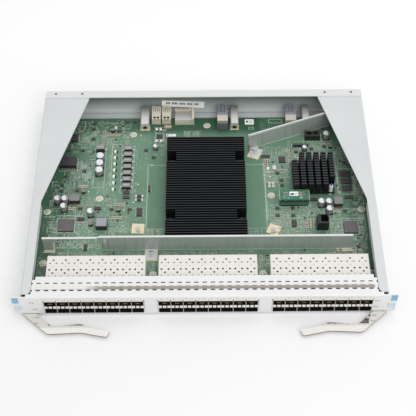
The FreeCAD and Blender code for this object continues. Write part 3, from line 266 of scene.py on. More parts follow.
# Liquid-crystal polymer of the rear connectors: ivory, and a darker copy painted as the shade in
# its grooves.
IVORY = moulded("ivory_liquid_crystal_polymer", "#E2DECC", "#D3CEBA", 0.45)
SHADED_IVORY = moulded("shaded_ivory_polymer", "#A9A592", "#949080", 0.5)
# Milled edge of a bare board: yellow-green glass and resin.
BARE_EDGE = moulded("bare_glass_epoxy_edge", "#C6CC93", "#AEB67C", 0.5)
# Moulded nylon and polypropylene: clear, even colours with a soft sheen.
WHITE_NYLON = moulded("white_nylon", "#EFF0EE", "#DADCDA", 0.4)
VIOLET_NYLON = moulded("violet_blue_nylon", "#5A57C4", "#4340A4", 0.4)
BLUE_PLASTIC = moulded("blue_polypropylene", "#90BEDC", "#78AECF", 0.45)
# Pale enamel of the blank plates on the panel's ends.
BLUE_ENAMEL = moulded("pale_blue_enamel", "#E2EAEF", "#D3E0E8", 0.45)
# Coated label paper and its ink; the greyer ink rolled on the panel.
PAPER = moulded("coated_label_paper", "#FFFFFF", "#F8F8F6", 0.6)
LABEL_INK = moulded("label_ink", "#3B3D41", "#2A2C30", 0.6)
MARK_INK = moulded("panel_marking_ink", "#8F9291", "#7C7F7E", 0.6)
# Fired ceramic and glazed film of the smallest soldered parts: tan, grey and near black.
CERAMIC = moulded("fired_tan_ceramic", "#B79E80", "#8F7758", 0.5)
PALE_CERAMIC = moulded("fired_grey_ceramic", "#C9C0BE", "#A79D9C", 0.5)
# The glazed film is paler on top with painted light and darker on its sides with painted shade.
CARBON = topped("glazed_resistor_film", "#3E3A3C", "#232022", 0.35)
# White epoxy ink screened on the mask, thin enough to look greenish.
SCREEN_INK = moulded("white_screen_ink", "#C3D1C2", "#A9BCAA", 0.6)
# The plug-in board's mask and header are a deeper, bluer green.
TEAL_BOARD = moulded("teal_solder_mask", "#37836A", "#2B7059", 0.4)
TEAL_POLYMER = moulded("dark_teal_polymer", "#4C8068", "#3B6B55", 0.5)


def finish_circuit_board(name, printed=False):
    """Green solder mask with tracks and vias, and painted shadow darkening it towards its rear and
    sides.

    Where it is printed, close-set pads and screened lines run over it in streaks.
    """
    material, place = start(name, Roughness=0.42, IOR=1.5)
    copper = mottled(material, place, "#5A7E67", "#6A9078", 30.0)
    # Painted shadow: the mask darkens towards the board's rear and sides, where the guard and the
    # side gussets shade it.
    rear = rise(material, place, "Y", BOARD_REAR - 32.0, BOARD_REAR - 21.0)
    left = rise(material, place, "X", BOARD_LOW.x + 60.0, BOARD_LOW.x + 26.0)
    right = rise(material, place, "X", BOARD_HIGH.x - 42.0, BOARD_HIGH.x - 22.0)
    edge = add(material, "Math", (rear, left), operation="MAXIMUM")
    rim = add(material, "Math", (edge, right), operation="MAXIMUM")
    rim_shadow = add(material, "Math", (rim, 0.88), operation="MULTIPLY")
    ground = add(material, "Mix", {FACTOR: rim_shadow, UNDER: copper, OVER: "#1E4F35"})
    # Quiet copper on both sides of the big heatsink carries few tracks and vias on this layer.
    across = add(material, "SeparateXYZ", (place,), "X")
    off_middle = add(material, "Math", (across, SINK_MIDDLE), operation="SUBTRACT")
    reach = add(material, "Math", (off_middle,), operation="ABSOLUTE")
    busy = add(material, "MapRange", {"Value": reach, "From Min": 70.0, "From Max": 74.0,
                                      "To Min": 0.12})
    # Tracks about three millimetres apart, coarser than real ones so that they show.
    cells = add(material, "TexVoronoi", {"Vector": place, "Scale": 1 / 7.0}, "Color",
                distance="CHEBYCHEV")
    slant, upright = (add(material, "TexWave", {"Vector": place, "Scale": 1 / apart,
                                                "Distortion": 0.0}, "Fac", bands_direction=lie)
                      for apart, lie in ((3.0, "DIAGONAL"), (3.4, "X")))
    run = add(material, "Mix", {0: cells, 2: slant, 3: upright}, data_type="FLOAT")
    line = add(material, "MapRange", {"Value": run, "From Min": 0.35, "From Max": 0.75,
                                      "To Max": 0.34})
    drawn = add(material, "Math", (line, busy), operation="MULTIPLY")
    traced = add(material, "Mix", {FACTOR: drawn, UNDER: ground, OVER: "#8FB29A"})
    # Vias stand in crowds, about a pitch of 2.6 mm.
    vias = add(material, "TexVoronoi", {"Vector": place, "Scale": 1 / 2.6, "Randomness": 0.85})
    dot = add(material, "Math", (vias, 0.2), operation="LESS_THAN")
    spread = add(material, "TexNoise", {"Vector": place, "Scale": 1 / 16.0})
    crowd = add(material, "Math", (spread, 0.5), operation="GREATER_THAN")
    both = add(material, "Math", (dot, crowd), operation="MULTIPLY")
    shown = add(material, "Math", (both, busy), operation="MULTIPLY")
    surface = add(material, "Mix", {FACTOR: shown, UNDER: traced, OVER: "#B7C4A6"})
    if printed:
        for wide, deep, paint_code, low, high in ((1.1, 4.2, "#A9BDAB", 0.50, 0.60),
                                                  (5.0, 1.2, "#9DB39F", 0.55, 0.64),
                                                  (1.6, 1.6, "#3C4A40", 0.60, 0.66)):
            drawn_out = add(material, "VectorMath", (place, (1 / wide, 1 / deep, 1)),
                            operation="MULTIPLY")
            streak = add(material, "TexNoise", {"Vector": drawn_out, "Scale": 1.0, "Detail": 1.0})
            strength = add(material, "MapRange", {"Value": streak, "From Min": low,
                                                  "From Max": high, "To Max": 0.6})
            surface = add(material, "Mix", {FACTOR: strength, UNDER: surface, OVER: paint_code})
    bump = add(material, "Bump", {"Height": line, "Strength": 0.2, "Distance": 0.05 * MM})
    return wire(material, Base_Color=surface, Normal=bump)


# Vent holes in one port's width of cage roof, painted dark as the shade seen through them:
# distance from the middle, from the panel, radius and darkness.
VENTS = ((0.0, 58.2, 1.25, 1.0), (3.8, 53.7, 1.15, 0.75), (0.0, 49.2, 1.0, 0.3),
         (4.0, 44.4, 1.3, 1.0), (0.0, 39.8, 1.3, 1.0), (3.9, 35.5, 1.05, 0.5))


def from_port_middle(material, place, middle):
    """How far a point stands to either side of the middle of its port, in a cage at middle."""
    across = add(material, "SeparateXYZ", (place,), "X")
    shift = add(material, "Math", (across, PORT_PITCH * (PORT_COLUMNS + 2) - middle))
    column = add(material, "Math", (shift, PORT_PITCH), operation="MODULO")
    centred = add(material, "Math", (column, PORT_PITCH / 2), operation="SUBTRACT")
    return add(material, "Math", (centred,), operation="ABSOLUTE")


def finish_cage_steel(side, middle):
    """Nickel-plated cage sheet: warm white roof with rows of vent holes painted dark as shade, and
    painted shade inside the ports.
    """
    material, place = start("nickel_plated_cage_" + side, Metallic=0.15, Roughness=0.42)
    mirrored = from_port_middle(material, place, middle)
    across = add(material, "SeparateXYZ", (place,), "X")
    along = add(material, "SeparateXYZ", (place,), "Y")
    flat = add(material, "CombineXYZ", (mirrored, along))
    sheet = mottled(material, place, "#E6E2DC", "#F0ECE6", 20.0)
    roof = rise(material, place, "Z", CAGE_HIGH.z - 0.2, CAGE_HIGH.z - 0.1)
    for aside, behind, radius, darkness in VENTS:
        reach = add(material, "VectorMath", (flat, (aside, FRONT + behind, 0)), "Value",
                    operation="DISTANCE")
        hole = add(material, "MapRange", {"Value": reach, "From Min": radius,
                                          "From Max": radius * 0.85, "To Max": darkness})
        cut = add(material, "Math", (hole, roof), operation="MULTIPLY")
        sheet = add(material, "Mix", {FACTOR: cut, UNDER: sheet, OVER: "#0E0D0C"})
    # Inside the ports the sheet is in the dark; its outer walls, front edges and roof are not.
    off_middle = add(material, "Math", (across, -middle))
    reach = add(material, "Math", (off_middle,), operation="ABSOLUTE")
    wall = PORT_COLUMNS * PORT_PITCH / 2
    within = add(material, "MapRange", {"Value": reach, "From Min": wall + 0.1,
                                        "From Max": wall - 0.2})
    half_mouth = 6.65  # half the clear width of a port
    mouth = add(material, "MapRange", {"Value": mirrored, "From Min": half_mouth + 0.1,
                                       "From Max": half_mouth - 0.1})
    edge = rise(material, place, "Y", FRONT - 0.35, FRONT - 0.15)
    inner = add(material, "Math", (mouth, edge), operation="MAXIMUM")
    for limit in (within, rise(material, place, "Z", CAGE_HIGH.z - 0.45, CAGE_HIGH.z - 0.6),
                  rise(material, place, "Y", CAGE_HIGH.y - 0.3, CAGE_HIGH.y - 0.5)):
        inner = add(material, "Math", (inner, limit), operation="MULTIPLY")
    dark = add(material, "Mix", {FACTOR: inner, UNDER: sheet, OVER: "#1E1D1D"})
    return wire(material, Base_Color=dark)


def finish_separators(side, middle):
    """Folded sheet between the two rows of ports: bright nose in three lengths, with painted shade
    in its pockets and behind it.
    """
    material, place = start("nickel_plated_separator_" + side, Metallic=0.3, Roughness=0.3)
    mirrored = from_port_middle(material, place, middle)
    # Two pressed pockets, painted dark as shade, part each port's nose into its three lengths.
    after = add(material, "MapRange", {"Value": mirrored, "From Min": 1.7, "From Max": 1.9})
    before = add(material, "MapRange", {"Value": mirrored, "From Min": 3.3, "From Max": 3.1})
    pocket = add(material, "Math", (after, before), operation="MULTIPLY")
    tip = rise(material, place, "Y", FRONT - 0.1, FRONT - 0.4)
    under = rise(material, place, "Z", BOARD_TOP + 9.3, BOARD_TOP + 9.9)
    nose = add(material, "Math", (tip, under), operation="MULTIPLY")
    bright = mottled(material, place, "#D8D2C8", "#FFFDF8", 1.6, 2.0)
    shaded_pockets = add(material, "Mix", {FACTOR: pocket, UNDER: bright, OVER: "#3A3835"})
    # Behind the nose the sheet is painted dark as shade.
    tint = add(material, "Mix", {FACTOR: nose, UNDER: "#232221", OVER: shaded_pockets})
    return wire(material, Base_Color=tint)


def finish_port_fingers():
    """Spring fingers over the ports: bright rolled tips, and painted shade below where they turn
    in.
    """
    material, place = start("stainless_port_fingers", Metallic=0.3, Roughness=0.35)
    slits = add(material, "TexWave", {"Vector": place, "Scale": 1 / 4.2, "Distortion": 0.4},
                "Fac", bands_direction="X")
    bright = add(material, "Mix", {FACTOR: slits, UNDER: "#D8CCB8", OVER: "#F4EEE3"})
    turn_in_shade = rise(material, place, "Z", CAGE_HIGH.z + 1.15, CAGE_HIGH.z + 0.85)
    tint = add(material, "Mix", {FACTOR: turn_in_shade, UNDER: bright, OVER: "#2C2A28"})
    return wire(material, Base_Color=tint)


def finish_baffle():
    """Galvanised sheet: dull grey-green with upright rolling bands, and painted highlights on its
    cut top edge and its foot.
    """
    material, place = start("galvanised_baffle_steel", Metallic=0.3)
    squeezed = add(material, "VectorMath", (place, (1, 1, 0.06)), operation="MULTIPLY")
    tint = mottled(material, squeezed, "#9CA59F", "#C2C9C4", 3.5, 2.0)
    # Painted highlights: the cut top edge and the foot's top catch the light.
    crest = rise(material, place, "Z", 30.6, 31.2)
    foot = rise(material, place, "Z", 7.9, 7.6)
    bright = add(material, "Math", (crest, foot), operation="MAXIMUM")
    lit_edges = add(material, "Mix", {FACTOR: bright, UNDER: tint, OVER: "#E6E8E7"})
    grained(material, place, 0.34, 0.06, 0.35, 0.012)
    return wire(material, Base_Color=lit_edges)


def finish_guard():
    """Pale passivated steel, with painted shade darkening the inner wall towards its top, under
    the strip.
    """
    material, place = start("pale_passivated_steel", Metallic=0.2, Roughness=0.46)
    sheet = mottled(material, place, "#DCDEDF", "#E5E7E8", 45.0)
    # Painted shade: the wall darkens upwards, under the strip that overhangs it.
    wall_shade = add(material, "Mix", {FACTOR: rise(material, place, "Z", 4.0, 25.0),
                                 UNDER: "#DADFDE", OVER: "#7C8884"})
    wall = add(material, "Math", (rise(material, place, "Z", 36.5, 36.0),
                                  rise(material, place, "Y", REAR - 0.4, REAR - 0.8)),
               operation="MULTIPLY")
    tint = add(material, "Mix", {FACTOR: wall, UNDER: sheet, OVER: wall_shade})
    return wire(material, Base_Color=tint)


def finish_spring_strip():
    """Stainless spring strip: satin, brighter at its left end; further right the front of its
    ridge is a painted dark reflection.
    """
    material, place = start("stainless_spring_strip", Metallic=0.4, Roughness=0.32)
    # Painted reflection: the ridge's front slope mirrors the darker surroundings.
    slope_reflection = mottled(material, place, "#8F877E", "#B5AEA6", 4.0, 2.0)
    dim_slope = add(material, "Math", (rise(material, place, "X", -138.0, -118.0),
                                  rise(material, place, "Y", FRONT + 15.6, FRONT + 15.0)),
               operation="MULTIPLY")
    tint = add(material, "Mix", {FACTOR: dim_slope, UNDER: "#EFEEEB", OVER: slope_reflection})
    # The strip's hooked ends are in the dark of the slots.
    hooked = rise(material, place, "Z", FLANGE_TOP + 0.25, FLANGE_TOP + 0.1)
    sunk = add(material, "Mix", {FACTOR: hooked, UNDER: tint, OVER: "#22201D"})
    return wire(material, Base_Color=sunk)


def finish_signal_housing():
    """Connector housing in two mouldings: tan nylon in front and blue-grey behind."""
    material, place = start("two_part_connector_nylon", Roughness=0.42)
    tint = mottled(material, place, "#CFC8B8", "#DCD6C8", 5.0)
    for begins, ends, code in ((-6.0, -5.0, "#8F959E"), (-17.0, -18.0, "#6F7472")):
        part = rise(material, place, "Y", BOARD_REAR + begins, BOARD_REAR + ends)
        tint = add(material, "Mix", {FACTOR: part, UNDER: tint, OVER: code})
    return wire(material, Base_Color=tint)


def finish_die_casting():
    """Zinc die casting: satin, paler towards the front than at the rear."""
    material, place = start("zinc_die_casting", Metallic=0.35)
    front = mottled(material, place, "#D2D0CB", "#EFEEEB", 4.0, 4.0)
    rear = rise(material, place, "Y", BOARD_REAR - 8.0, BOARD_REAR + 12.0)
    tint = add(material, "Mix", {FACTOR: rear, UNDER: front, OVER: "#7A7977"})
    grained(material, place, 0.36, 0.06, 0.4, 0.02)
    return wire(material, Base_Color=tint)


PRINTED_BOARD = finish_circuit_board("screened_solder_mask", printed=True)
SIGNAL_NYLON = finish_signal_housing()
CAD_FINISHES = {
    ZINC_STEEL: "base_tray",
    finish_guard(): "rear_guard",
    PANEL_STEEL: "front_panel",
    finish_spring_strip(): "finger_gasket",
    finish_port_fingers(): "port_gaskets",
    BLUE_PLASTIC: "panel_end_pads",
    DIVIDER_STEEL: "port_dividers_left port_dividers_middle port_dividers_right",
    COAL: "port_sockets_left port_sockets_middle port_sockets_right",
    BLACK_PLASTIC: "upright_jack twin_connector strip_header daughter_headers",
    finish_circuit_board("solder_mask_on_glass_epoxy"): "main_board",
    TEAL_BOARD: "daughterboard",
    TIN: "board_standoffs module_pins lever_pins crystals board_screws baffle_screws test_studs",
    BROWN_RIVET: "guard_screws",
    BLACK_ANODISED: "main_heatsink pin_heatsink",
    WHITE_NYLON: "push_pins",
    finish_baffle(): "long_baffle diagonal_baffle",
    finish_die_casting(): "guide_sockets shroud_core",
    IVORY: "power_connectors shroud_frame",
    SIGNAL_NYLON: "signal_connectors",
    CAN_TOP: "electrolytic_capacitors polymer_capacitors",
    FERRITE: "output_chokes",
    SHIELD: "power_inductors drum_inductors",
    EPOXY: "switch_chip processor_chip array_chips",
    DARK_EPOXY: "memory_chips leaded_chips small_chips power_transistors power_module",
    POLISHED_STEEL: "lever_left lever_right",
    BLACK_STEEL: "lever_brackets heatsink_screws",
}
for side, middle in zip(SIDES, CAGE_MIDDLES):
    CAD_FINISHES[finish_cage_steel(side, middle)] = "cage_" + side
    CAD_FINISHES[finish_separators(side, middle)] = "port_separators_" + side

for finish, names in CAD_FINISHES.items():
    for name in names.split():
        mesh = NODES[name].data
        mesh.materials.clear()
        mesh.materials.append(finish)


# ---------------------------------------------------------------- modelling
def pick(*pieces):
    """Selects just these pieces and makes the first one active."""
    bpy.ops.object.select_all(action="DESELECT")
    for piece in pieces:
        piece.select_set(True)
    bpy.context.view_layer.objects.active = pieces[0]


def settled():
    """Puts the place, turn and size of what is selected into its mesh."""
    bpy.ops.object.transform_apply(location=True, rotation=True, scale=True)
    return bpy.context.object


def finished(piece, finishes):
    """Gives a new piece its finishes."""
    for finish in finishes:
        piece.data.materials.append(finish)
    return piece


def block(size, *finishes, at=(0, 0, 0)):
    """A block with the middle of its underside at a place."""
    bpy.ops.object.select_all(action="DESELECT")
    middle = Vector(at) + Vector((0, 0, size[2] / 2))
    bpy.ops.mesh.primitive_cube_add(size=1, location=middle * MM, scale=Vector(size) * MM)
    return finished(settled(), finishes)


def drum(radius, height, sides, *finishes, at=(0, 0, 0)):
    """An upright cylinder with the middle of its underside at a place."""
    bpy.ops.object.select_all(action="DESELECT")
    middle = Vector(at) + Vector((0, 0, height / 2))
    bpy.ops.mesh.primitive_cylinder_add(vertices=sides, radius=radius * MM, depth=height * MM,
                                        location=middle * MM)
    return finished(settled(), finishes)


def shape(piece, test, operator, **settings):
    """Applies an edit-mode operator to the faces that pass the test, or to those still chosen."""
    pick(piece)
    if test:
        bpy.ops.object.mode_set(mode="EDIT")
        bpy.ops.mesh.select_mode(type="FACE")
        bpy.ops.mesh.select_all(action="DESELECT")
        bpy.ops.object.mode_set(mode="OBJECT")
        for face in piece.data.polygons:
            face.select = test(face.center / MM, face.normal)
    bpy.ops.object.mode_set(mode="EDIT")
    operator(**settings)
    bpy.ops.object.mode_set(mode="OBJECT")
    return piece


def everything(middle, normal):
    return True


def upward(middle, normal):
    return normal.z > 0.9


def sideways(middle, normal):
    return abs(normal.z) < 0.1


def paint(piece, finish, test):
    """Gives the faces that pass the test another of the piece's finishes, by its number."""
    for face in piece.data.polygons:
        if test(face.center / MM, face.normal):
            face.material_index = finish
    return piece


def soften(piece, width, segments=1, test=everything):
    """Rounds the edges round the chosen faces."""
    return shape(piece, test, bpy.ops.mesh.bevel, offset=width * MM, segments=segments,
                 affect="EDGES")


def recess(piece, rim, depth):
    """Leaves a rim round the top and sinks what is inside it."""
    shape(piece, upward, bpy.ops.mesh.inset, thickness=rim * MM, depth=0)
    return shape(piece, None, bpy.ops.mesh.inset, thickness=0.0001 * MM, depth=-depth * MM)


def slice_at(piece, along, *places):
    """Cuts the piece across one axis at each place without parting it."""
    normal = [float(axis == along) for axis in range(3)]
    for place in places:
        shape(piece, everything, bpy.ops.mesh.bisect, plane_no=normal,
              plane_co=[place * MM * part for part in normal])
    return piece


def swell(piece, amount, test):
    """Moves the chosen faces out along their normals, or in."""
    return shape(piece, test, bpy.ops.transform.shrink_fatten, value=amount * MM)


def drop(piece, amount, test):
    """Moves the chosen faces down."""
    return shape(piece, test, bpy.ops.transform.translate, value=(0, 0, -amount * MM))


def unite(name, *pieces):
    """Joins pieces into one with this name."""
    pick(*pieces)
    if len(pieces) > 1:
        bpy.ops.object.join()
    pieces[0].name = name
    return pieces[0]


def carry(name, *pieces):
    """Joins pieces into one that rides on the card."""
    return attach(unite(name, *pieces), "card")


def turned(piece, degrees, axis="Z"):
    """The piece turned about the card's origin, with the turn put into its mesh."""
    pick(piece)
    piece.rotation_euler["XYZ".index(axis)] = math.radians(degrees)
    return settled()


def copies(name, pattern, places):
    """Copies the pattern to each place (across, along, height, turn) as one piece on the card."""
    twins = []
    for across, along, height, turn in places:
        twin = pattern.copy()
        twin.data = pattern.data.copy()
        spot = Matrix.Translation(Vector((across, along, height)) * MM)
        twin.matrix_world = spot @ Matrix.Rotation(math.radians(turn), 4, "Z")
        bpy.context.scene.collection.objects.link(twin)
        twins.append(twin)
    bpy.data.objects.remove(pattern)
    unite(name, *twins)
    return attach(settled(), "card")


def row(first, step, count, turn=0.0, height=BOARD_TOP):
    """Places in a straight row."""
    return [(first[0] + step[0] * number, first[1] + step[1] * number, height, turn)
            for number in range(count)]


def on_board(spots, turn=0.0):
    """Places on the board's top."""
    return [(across, along, BOARD_TOP, turn) for across, along in spots]


# ---------------------------------------------------------------- what stands on the board
STANDING = [pair for name in """
    array_chips memory_chips small_chips leaded_chips power_transistors power_inductors
    drum_inductors output_chokes electrolytic_capacitors polymer_capacitors power_module
    upright_jack twin_connector strip_header daughter_headers crystals test_studs board_screws
    baffle_screws main_heatsink pin_heatsink guide_sockets power_connectors signal_connectors
    shroud_frame cage_left cage_middle cage_right""".split() for pair in solids(name)]


def is_free(across, along, room):
    """Whether a small part may stand here without touching a larger one."""
    return not any(low.x - room < across < high.x + room and low.y - room < along < high.y + room
                   for low, high in STANDING)


def strewn(areas, spacing, room=1.3):
    """Places in small ordered groups over areas (left, front, right, rear).

    They keep clear of larger parts by the room given, or, with None, stand anywhere.
    """
    spots = []
    step = spacing * 0.62
    for left, front, right, rear in areas:
        along = front
        while along < rear:
            across = left
            while across < right:
                over, down = CHANCE.choice(((4, 1), (1, 4), (3, 2), (2, 3), (2, 1)))
                turn = CHANCE.choice((0.0, 0.0, 90.0))
                for number in range(over * down):
                    spot = (across + step * (number % over), along + step * (number // over))
                    if (spot[0] < right and spot[1] < rear
                            and (room is None or is_free(*spot, room))):
                        spots.append((*spot, BOARD_TOP, turn))
                across += step * over + spacing * CHANCE.uniform(0.5, 1.6)
            along += spacing * CHANCE.uniform(1.6, 2.4)
    return spots


def small_part(size, body, ends=TIN):
    """A two-ended soldered part: a body, and plated ends that stand a little proud."""
    width = size[0]
    piece = slice_at(block(size, body, ends), 0, -width * 0.28, width * 0.28)
    swell(piece, 0.06, lambda middle, normal: abs(middle.x) > width * 0.28)
    return paint(piece, 1, lambda middle, normal: abs(middle.x) > width * 0.3)


def fit_passives():
    """Resistors and capacitors: in fields over the board, and in the rows that stand out."""
    places = strewn(
        [(-178, -71, -122, -62), (-186, -82, -74, -75), (-52, -82, 60, -78), (80, -82, 192, -76),
         (-192, -56, -156, -28), (-158, -33, -112, 4), (-112, -30, -84, 0), (86, -52, 133, -8),
         (76, 30, 110, 90), (-170, 36, -144, 66), (128, -20, 168, -8), (110, 62, 122, 90),
         (134, 78, 172, 96), (186, -24, 199, 50), (-172, 84, -146, 138), (154, -60, 196, -28),
         (168, 12, 190, 70), (150, -92, 196, -62), (-146, 60, -138, 98), (-192, -10, -150, 34),
         (-132, 96, -98, 138), (-64, 92, -48, 128), (66, -100, 78, -82), (-72, -100, -60, -90)],
        4.2)
    shares = ([], [], [], [])
    for first in range(0, len(places), 5):
        kind = CHANCE.choice((0, 0, 1, 2, 2, 3))
        shares[kind].extend(places[first:first + (1 if kind == 3 else 5)])
    rows = [spot for first, step, count, turn in (
        ((-116.5, -26), (2.1, 0), 8, 90), ((-112, -5.5), (2.2, 0), 6, 90),
        ((-158, 25), (2.1, 0), 6, 90), ((-128, 113), (2.4, 0), 8, 90),
        ((-168, -11), (2.0, 0), 5, 90), ((160, -18), (2.0, 0), 5, 90),
        ((128.4, -31), (0, -2.4), 6, 0), ((132.6, -31), (0, -2.4), 6, 0),
        ((-143, 119), (2.2, 0), 3, 90), ((-100, 20), (0, 3.1), 2, 90),
        ((80, 58), (0, 3.0), 4, 0), ((104, 84), (2.3, 0), 4, 90))
        for spot in row(first, step, count, turn)]
    copies("thick_film_resistors", small_part((1.9, 1.1, 0.6), CARBON), shares[0])
    copies("tan_ceramic_capacitors", small_part((1.7, 1.0, 0.9), CERAMIC), shares[1])
    copies("grey_ceramic_capacitors", small_part((1.7, 1.0, 0.9), PALE_CERAMIC), shares[2])
    copies("small_outline_packages", soften(block((2.2, 1.9, 1.1), DARK_EPOXY), 0.15), shares[3])
    copies("bulk_ceramic_capacitors", small_part((3.6, 1.5, 1.4), CERAMIC), rows)
    copies("pale_ceramic_capacitors", small_part((7.6, 3.6, 2.2), PALE_CERAMIC),
           on_board([(82.5, 25), (87.3, 25)], 90))
    copies("orange_ended_capacitor", small_part((9.6, 4.4, 2.4), PALE_CERAMIC, PALE_COPPER),
           on_board([(-47.5, 126.5)]))
    copies("current_shunts", small_part((10.0, 3.4, 1.4), CARBON),
           on_board([(-81.5, 8.6), (-81.5, 2.4)]))


def fit_screen_print():
    """White screened frames, bands and bars on the board, each a thin raised print."""
    prints = []
    for across, along, width, depth in (
            (2.6, 8.6, 149.4, 104.0), (179.2, 31.2, 20.0, 43.0), (95.0, 137.0, 18.0, 7.4),
            (62.6, 124.4, 7.0, 4.4), (-169.7, -37.1, 22.5, 23.0), (178.8, -42.7, 20.5, 22.0),
            (-134.0, 54.0, 15.0, 62.0), (-98.2, 54.0, 17.0, 80.0), (-173.8, 61.7, 24.0, 21.0),
            (142.1, 106.1, 24.0, 14.0), (-58.2, 109.3, 11.0, 15.0), (111.9, -0.5, 41.0, 20.0)):
        plate = block((width, depth, 0.06), SCREEN_INK, at=(across, along, BOARD_TOP))
        shape(plate, upward, bpy.ops.mesh.inset, thickness=0.75 * MM, depth=0)
        prints.append(shape(plate, lambda middle, normal: abs(normal.z) > 0.9
                            and abs(middle.x - across) < width / 2 - 0.8
                            and abs(middle.y - along) < depth / 2 - 0.8,
                            bpy.ops.mesh.delete, type="FACE"))
    carry("screened_outlines", *prints)
    # A grey line painted along the bend of the tray's floor, as the shade in its crease.
    bend = block((2 * HALF_WIDTH - 8, 0.6, 0.1), MARK_INK, at=(0, BOARD_REAR + 13.6, 2.4))
    carry("tray_floor_bend", soften(bend, 0.03))

    # No two of these fields overlap: each lies flat on the board.
    fields = ((-178, -72, -121, -61), (-190, -55, -182, -30), (-157, -54, -136, -28),
              (-110, -50, -92, -30), (-136, 12, -122, 34), (-190, 4, -168, 30),
              (-168, 38, -142, 66), (86, -52, 128, -30), (84, -28, 112, -10),
              (114, -28, 128, -8), (129.5, -26, 166, -12), (76, 30, 93, 62), (94, 50, 111, 88),
              (76, 64, 90, 92), (112, 62, 122, 88), (134, 66, 166, 94), (168, 52, 186, 92),
              (154, -56, 168, -28), (189, -58, 199, -21), (170, -19.5, 199, -12),
              (190, 0, 198, 40), (178, -74, 197, -60), (-186, -81.5, -74, -77),
              (-52, -81.5, 60, -77), (80, -81.5, 192, -77), (-200, -112, -188, -84),
              (63, -108, 76, -84), (-71, -106, -59, -90))
    carry("printed_fields", *[
        soften(block((right - left, rear - front, 0.03), PRINTED_BOARD,
                     at=((left + right) / 2, (front + rear) / 2, BOARD_TOP)), 0.01)
        for left, front, right, rear in fields])

    bars = strewn([(-190, -60, -110, 6), (-184, -72, -120, -62), (-178, 30, -140, 70),
                   (-166, 92, -96, 138), (76, 30, 124, 92), (82, -52, 136, -6),
                   (150, -62, 198, -10), (168, 50, 186, 92), (-75, -52, -49, -42),
                   (54, -52, 72, -42), (-126, -52, -88, -38), (-26, 104, -4, 122),
                   (-64, 78, -50, 128), (110, 66, 170, 100), (188, -20, 200, 44),
                   (-122, 16, -116, 90), (-94, 16, -86, 90), (62, -106, 78, -84),
                   (-72, -106, -60, -90)], 2.6, 0.4)
    copies("screened_marks", soften(block((1.5, 0.55, 0.06), SCREEN_INK), 0.02), bars)
    apart = 15  # a band is 14 mm long
    bands = [spot for first, count, turn in (
        ((-71.6, -36), 6, 0), ((-119.0, 32), 5, 0), ((77.5, -22), 5, 0), ((-172, -21.6), 2, 90),
        ((-191.0, -23.0), 1, 90), ((174, -28.4), 2, 90), ((168.5, 20), 3, 0), ((190.5, 20), 2, 0))
        for spot in row(first, (apart, 0) if turn else (0, apart), count, turn)]
    copies("screened_bands", soften(block((1.0, 14.0, 0.05), SCREEN_INK), 0.02), bands)

    # Land patterns left empty show as pale blocks of close-set pads.
    over_pitch, down_pitch = 1.7, 0.95
    pads = [(left + over_pitch * over, front + down_pitch * down, BOARD_TOP, 0.0)
            for left, front, right, rear in (
                (-116.5, -48, -108, -41), (-104, -48, -93.5, -40), (-73, -52, -60, -42),
                (-58, -52, -50, -42), (83, -36, 95, -29), (97, -38, 105, -33),
                (-148, 112, -140, 119), (-148, 95, -140, 102), (-160, 100, -148, 113),
                (-158, 55, -148, 63), (-25, 105, -15, 121), (-12, 105, -4, 121),
                (190, -31, 199, -22), (77.5, -30, 82.5, 0), (-150, 34, -142, 52),
                (150, -70, 162, -62), (-160, 84, -152, 94))
            for down in range(int((rear - front) / down_pitch))
            for over in range(int((right - left) / over_pitch))]
    copies("empty_land_patterns", soften(block((1.1, 0.5, 0.07), SCREEN_INK), 0.02),
           [pad for pad in pads if is_free(pad[0], pad[1], 0.6)])


def fit_fasteners():
    """Pan-head screws with crossed slots, their gold ground rings, and the spring screws."""
    head = soften(drum(2.8, 1.9, 20, BLUE_ZINC), 0.5, 3, upward)
    slots = [block(size, CAN_SIDE, at=(0, 0, 1.74))
             for size in ((2.4, 0.45, 0.18), (0.45, 2.4, 0.18))]
    screws = [(*centre(low, high), high.z - 1.9, 20)
              for node in ("board_screws", "baffle_screws") for low, high in solids(node)]
    whole = copies("pan_head_screws", unite("head", head, *slots), screws)
    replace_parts(whole, "board_screws", "baffle_screws")
    # In two columns only the screws beside the heatsink have rings: the rest are on lands.
    rings = [spot for spot in middles("board_screws")
             if min(abs(spot[0] + 81.4), abs(spot[0] - 84.8)) > 1.5 or abs(spot[1]) < 20]
    copies("gold_ground_rings", recess(drum(4.6, 0.14, 28, GOLD), 1.5, 0.08), on_board(rings))
    # A spring holds down each corner of the large heatsink: five turns, a millimetre apart.
    copies("heatsink_spring_turns", soften(drum(2.9, 0.6, 14, BLACK_STEEL), 0.2),
           [(*spot, 9.3 + 1.0 * number, 0) for spot in middles("heatsink_screws")
            for number in range(5)])


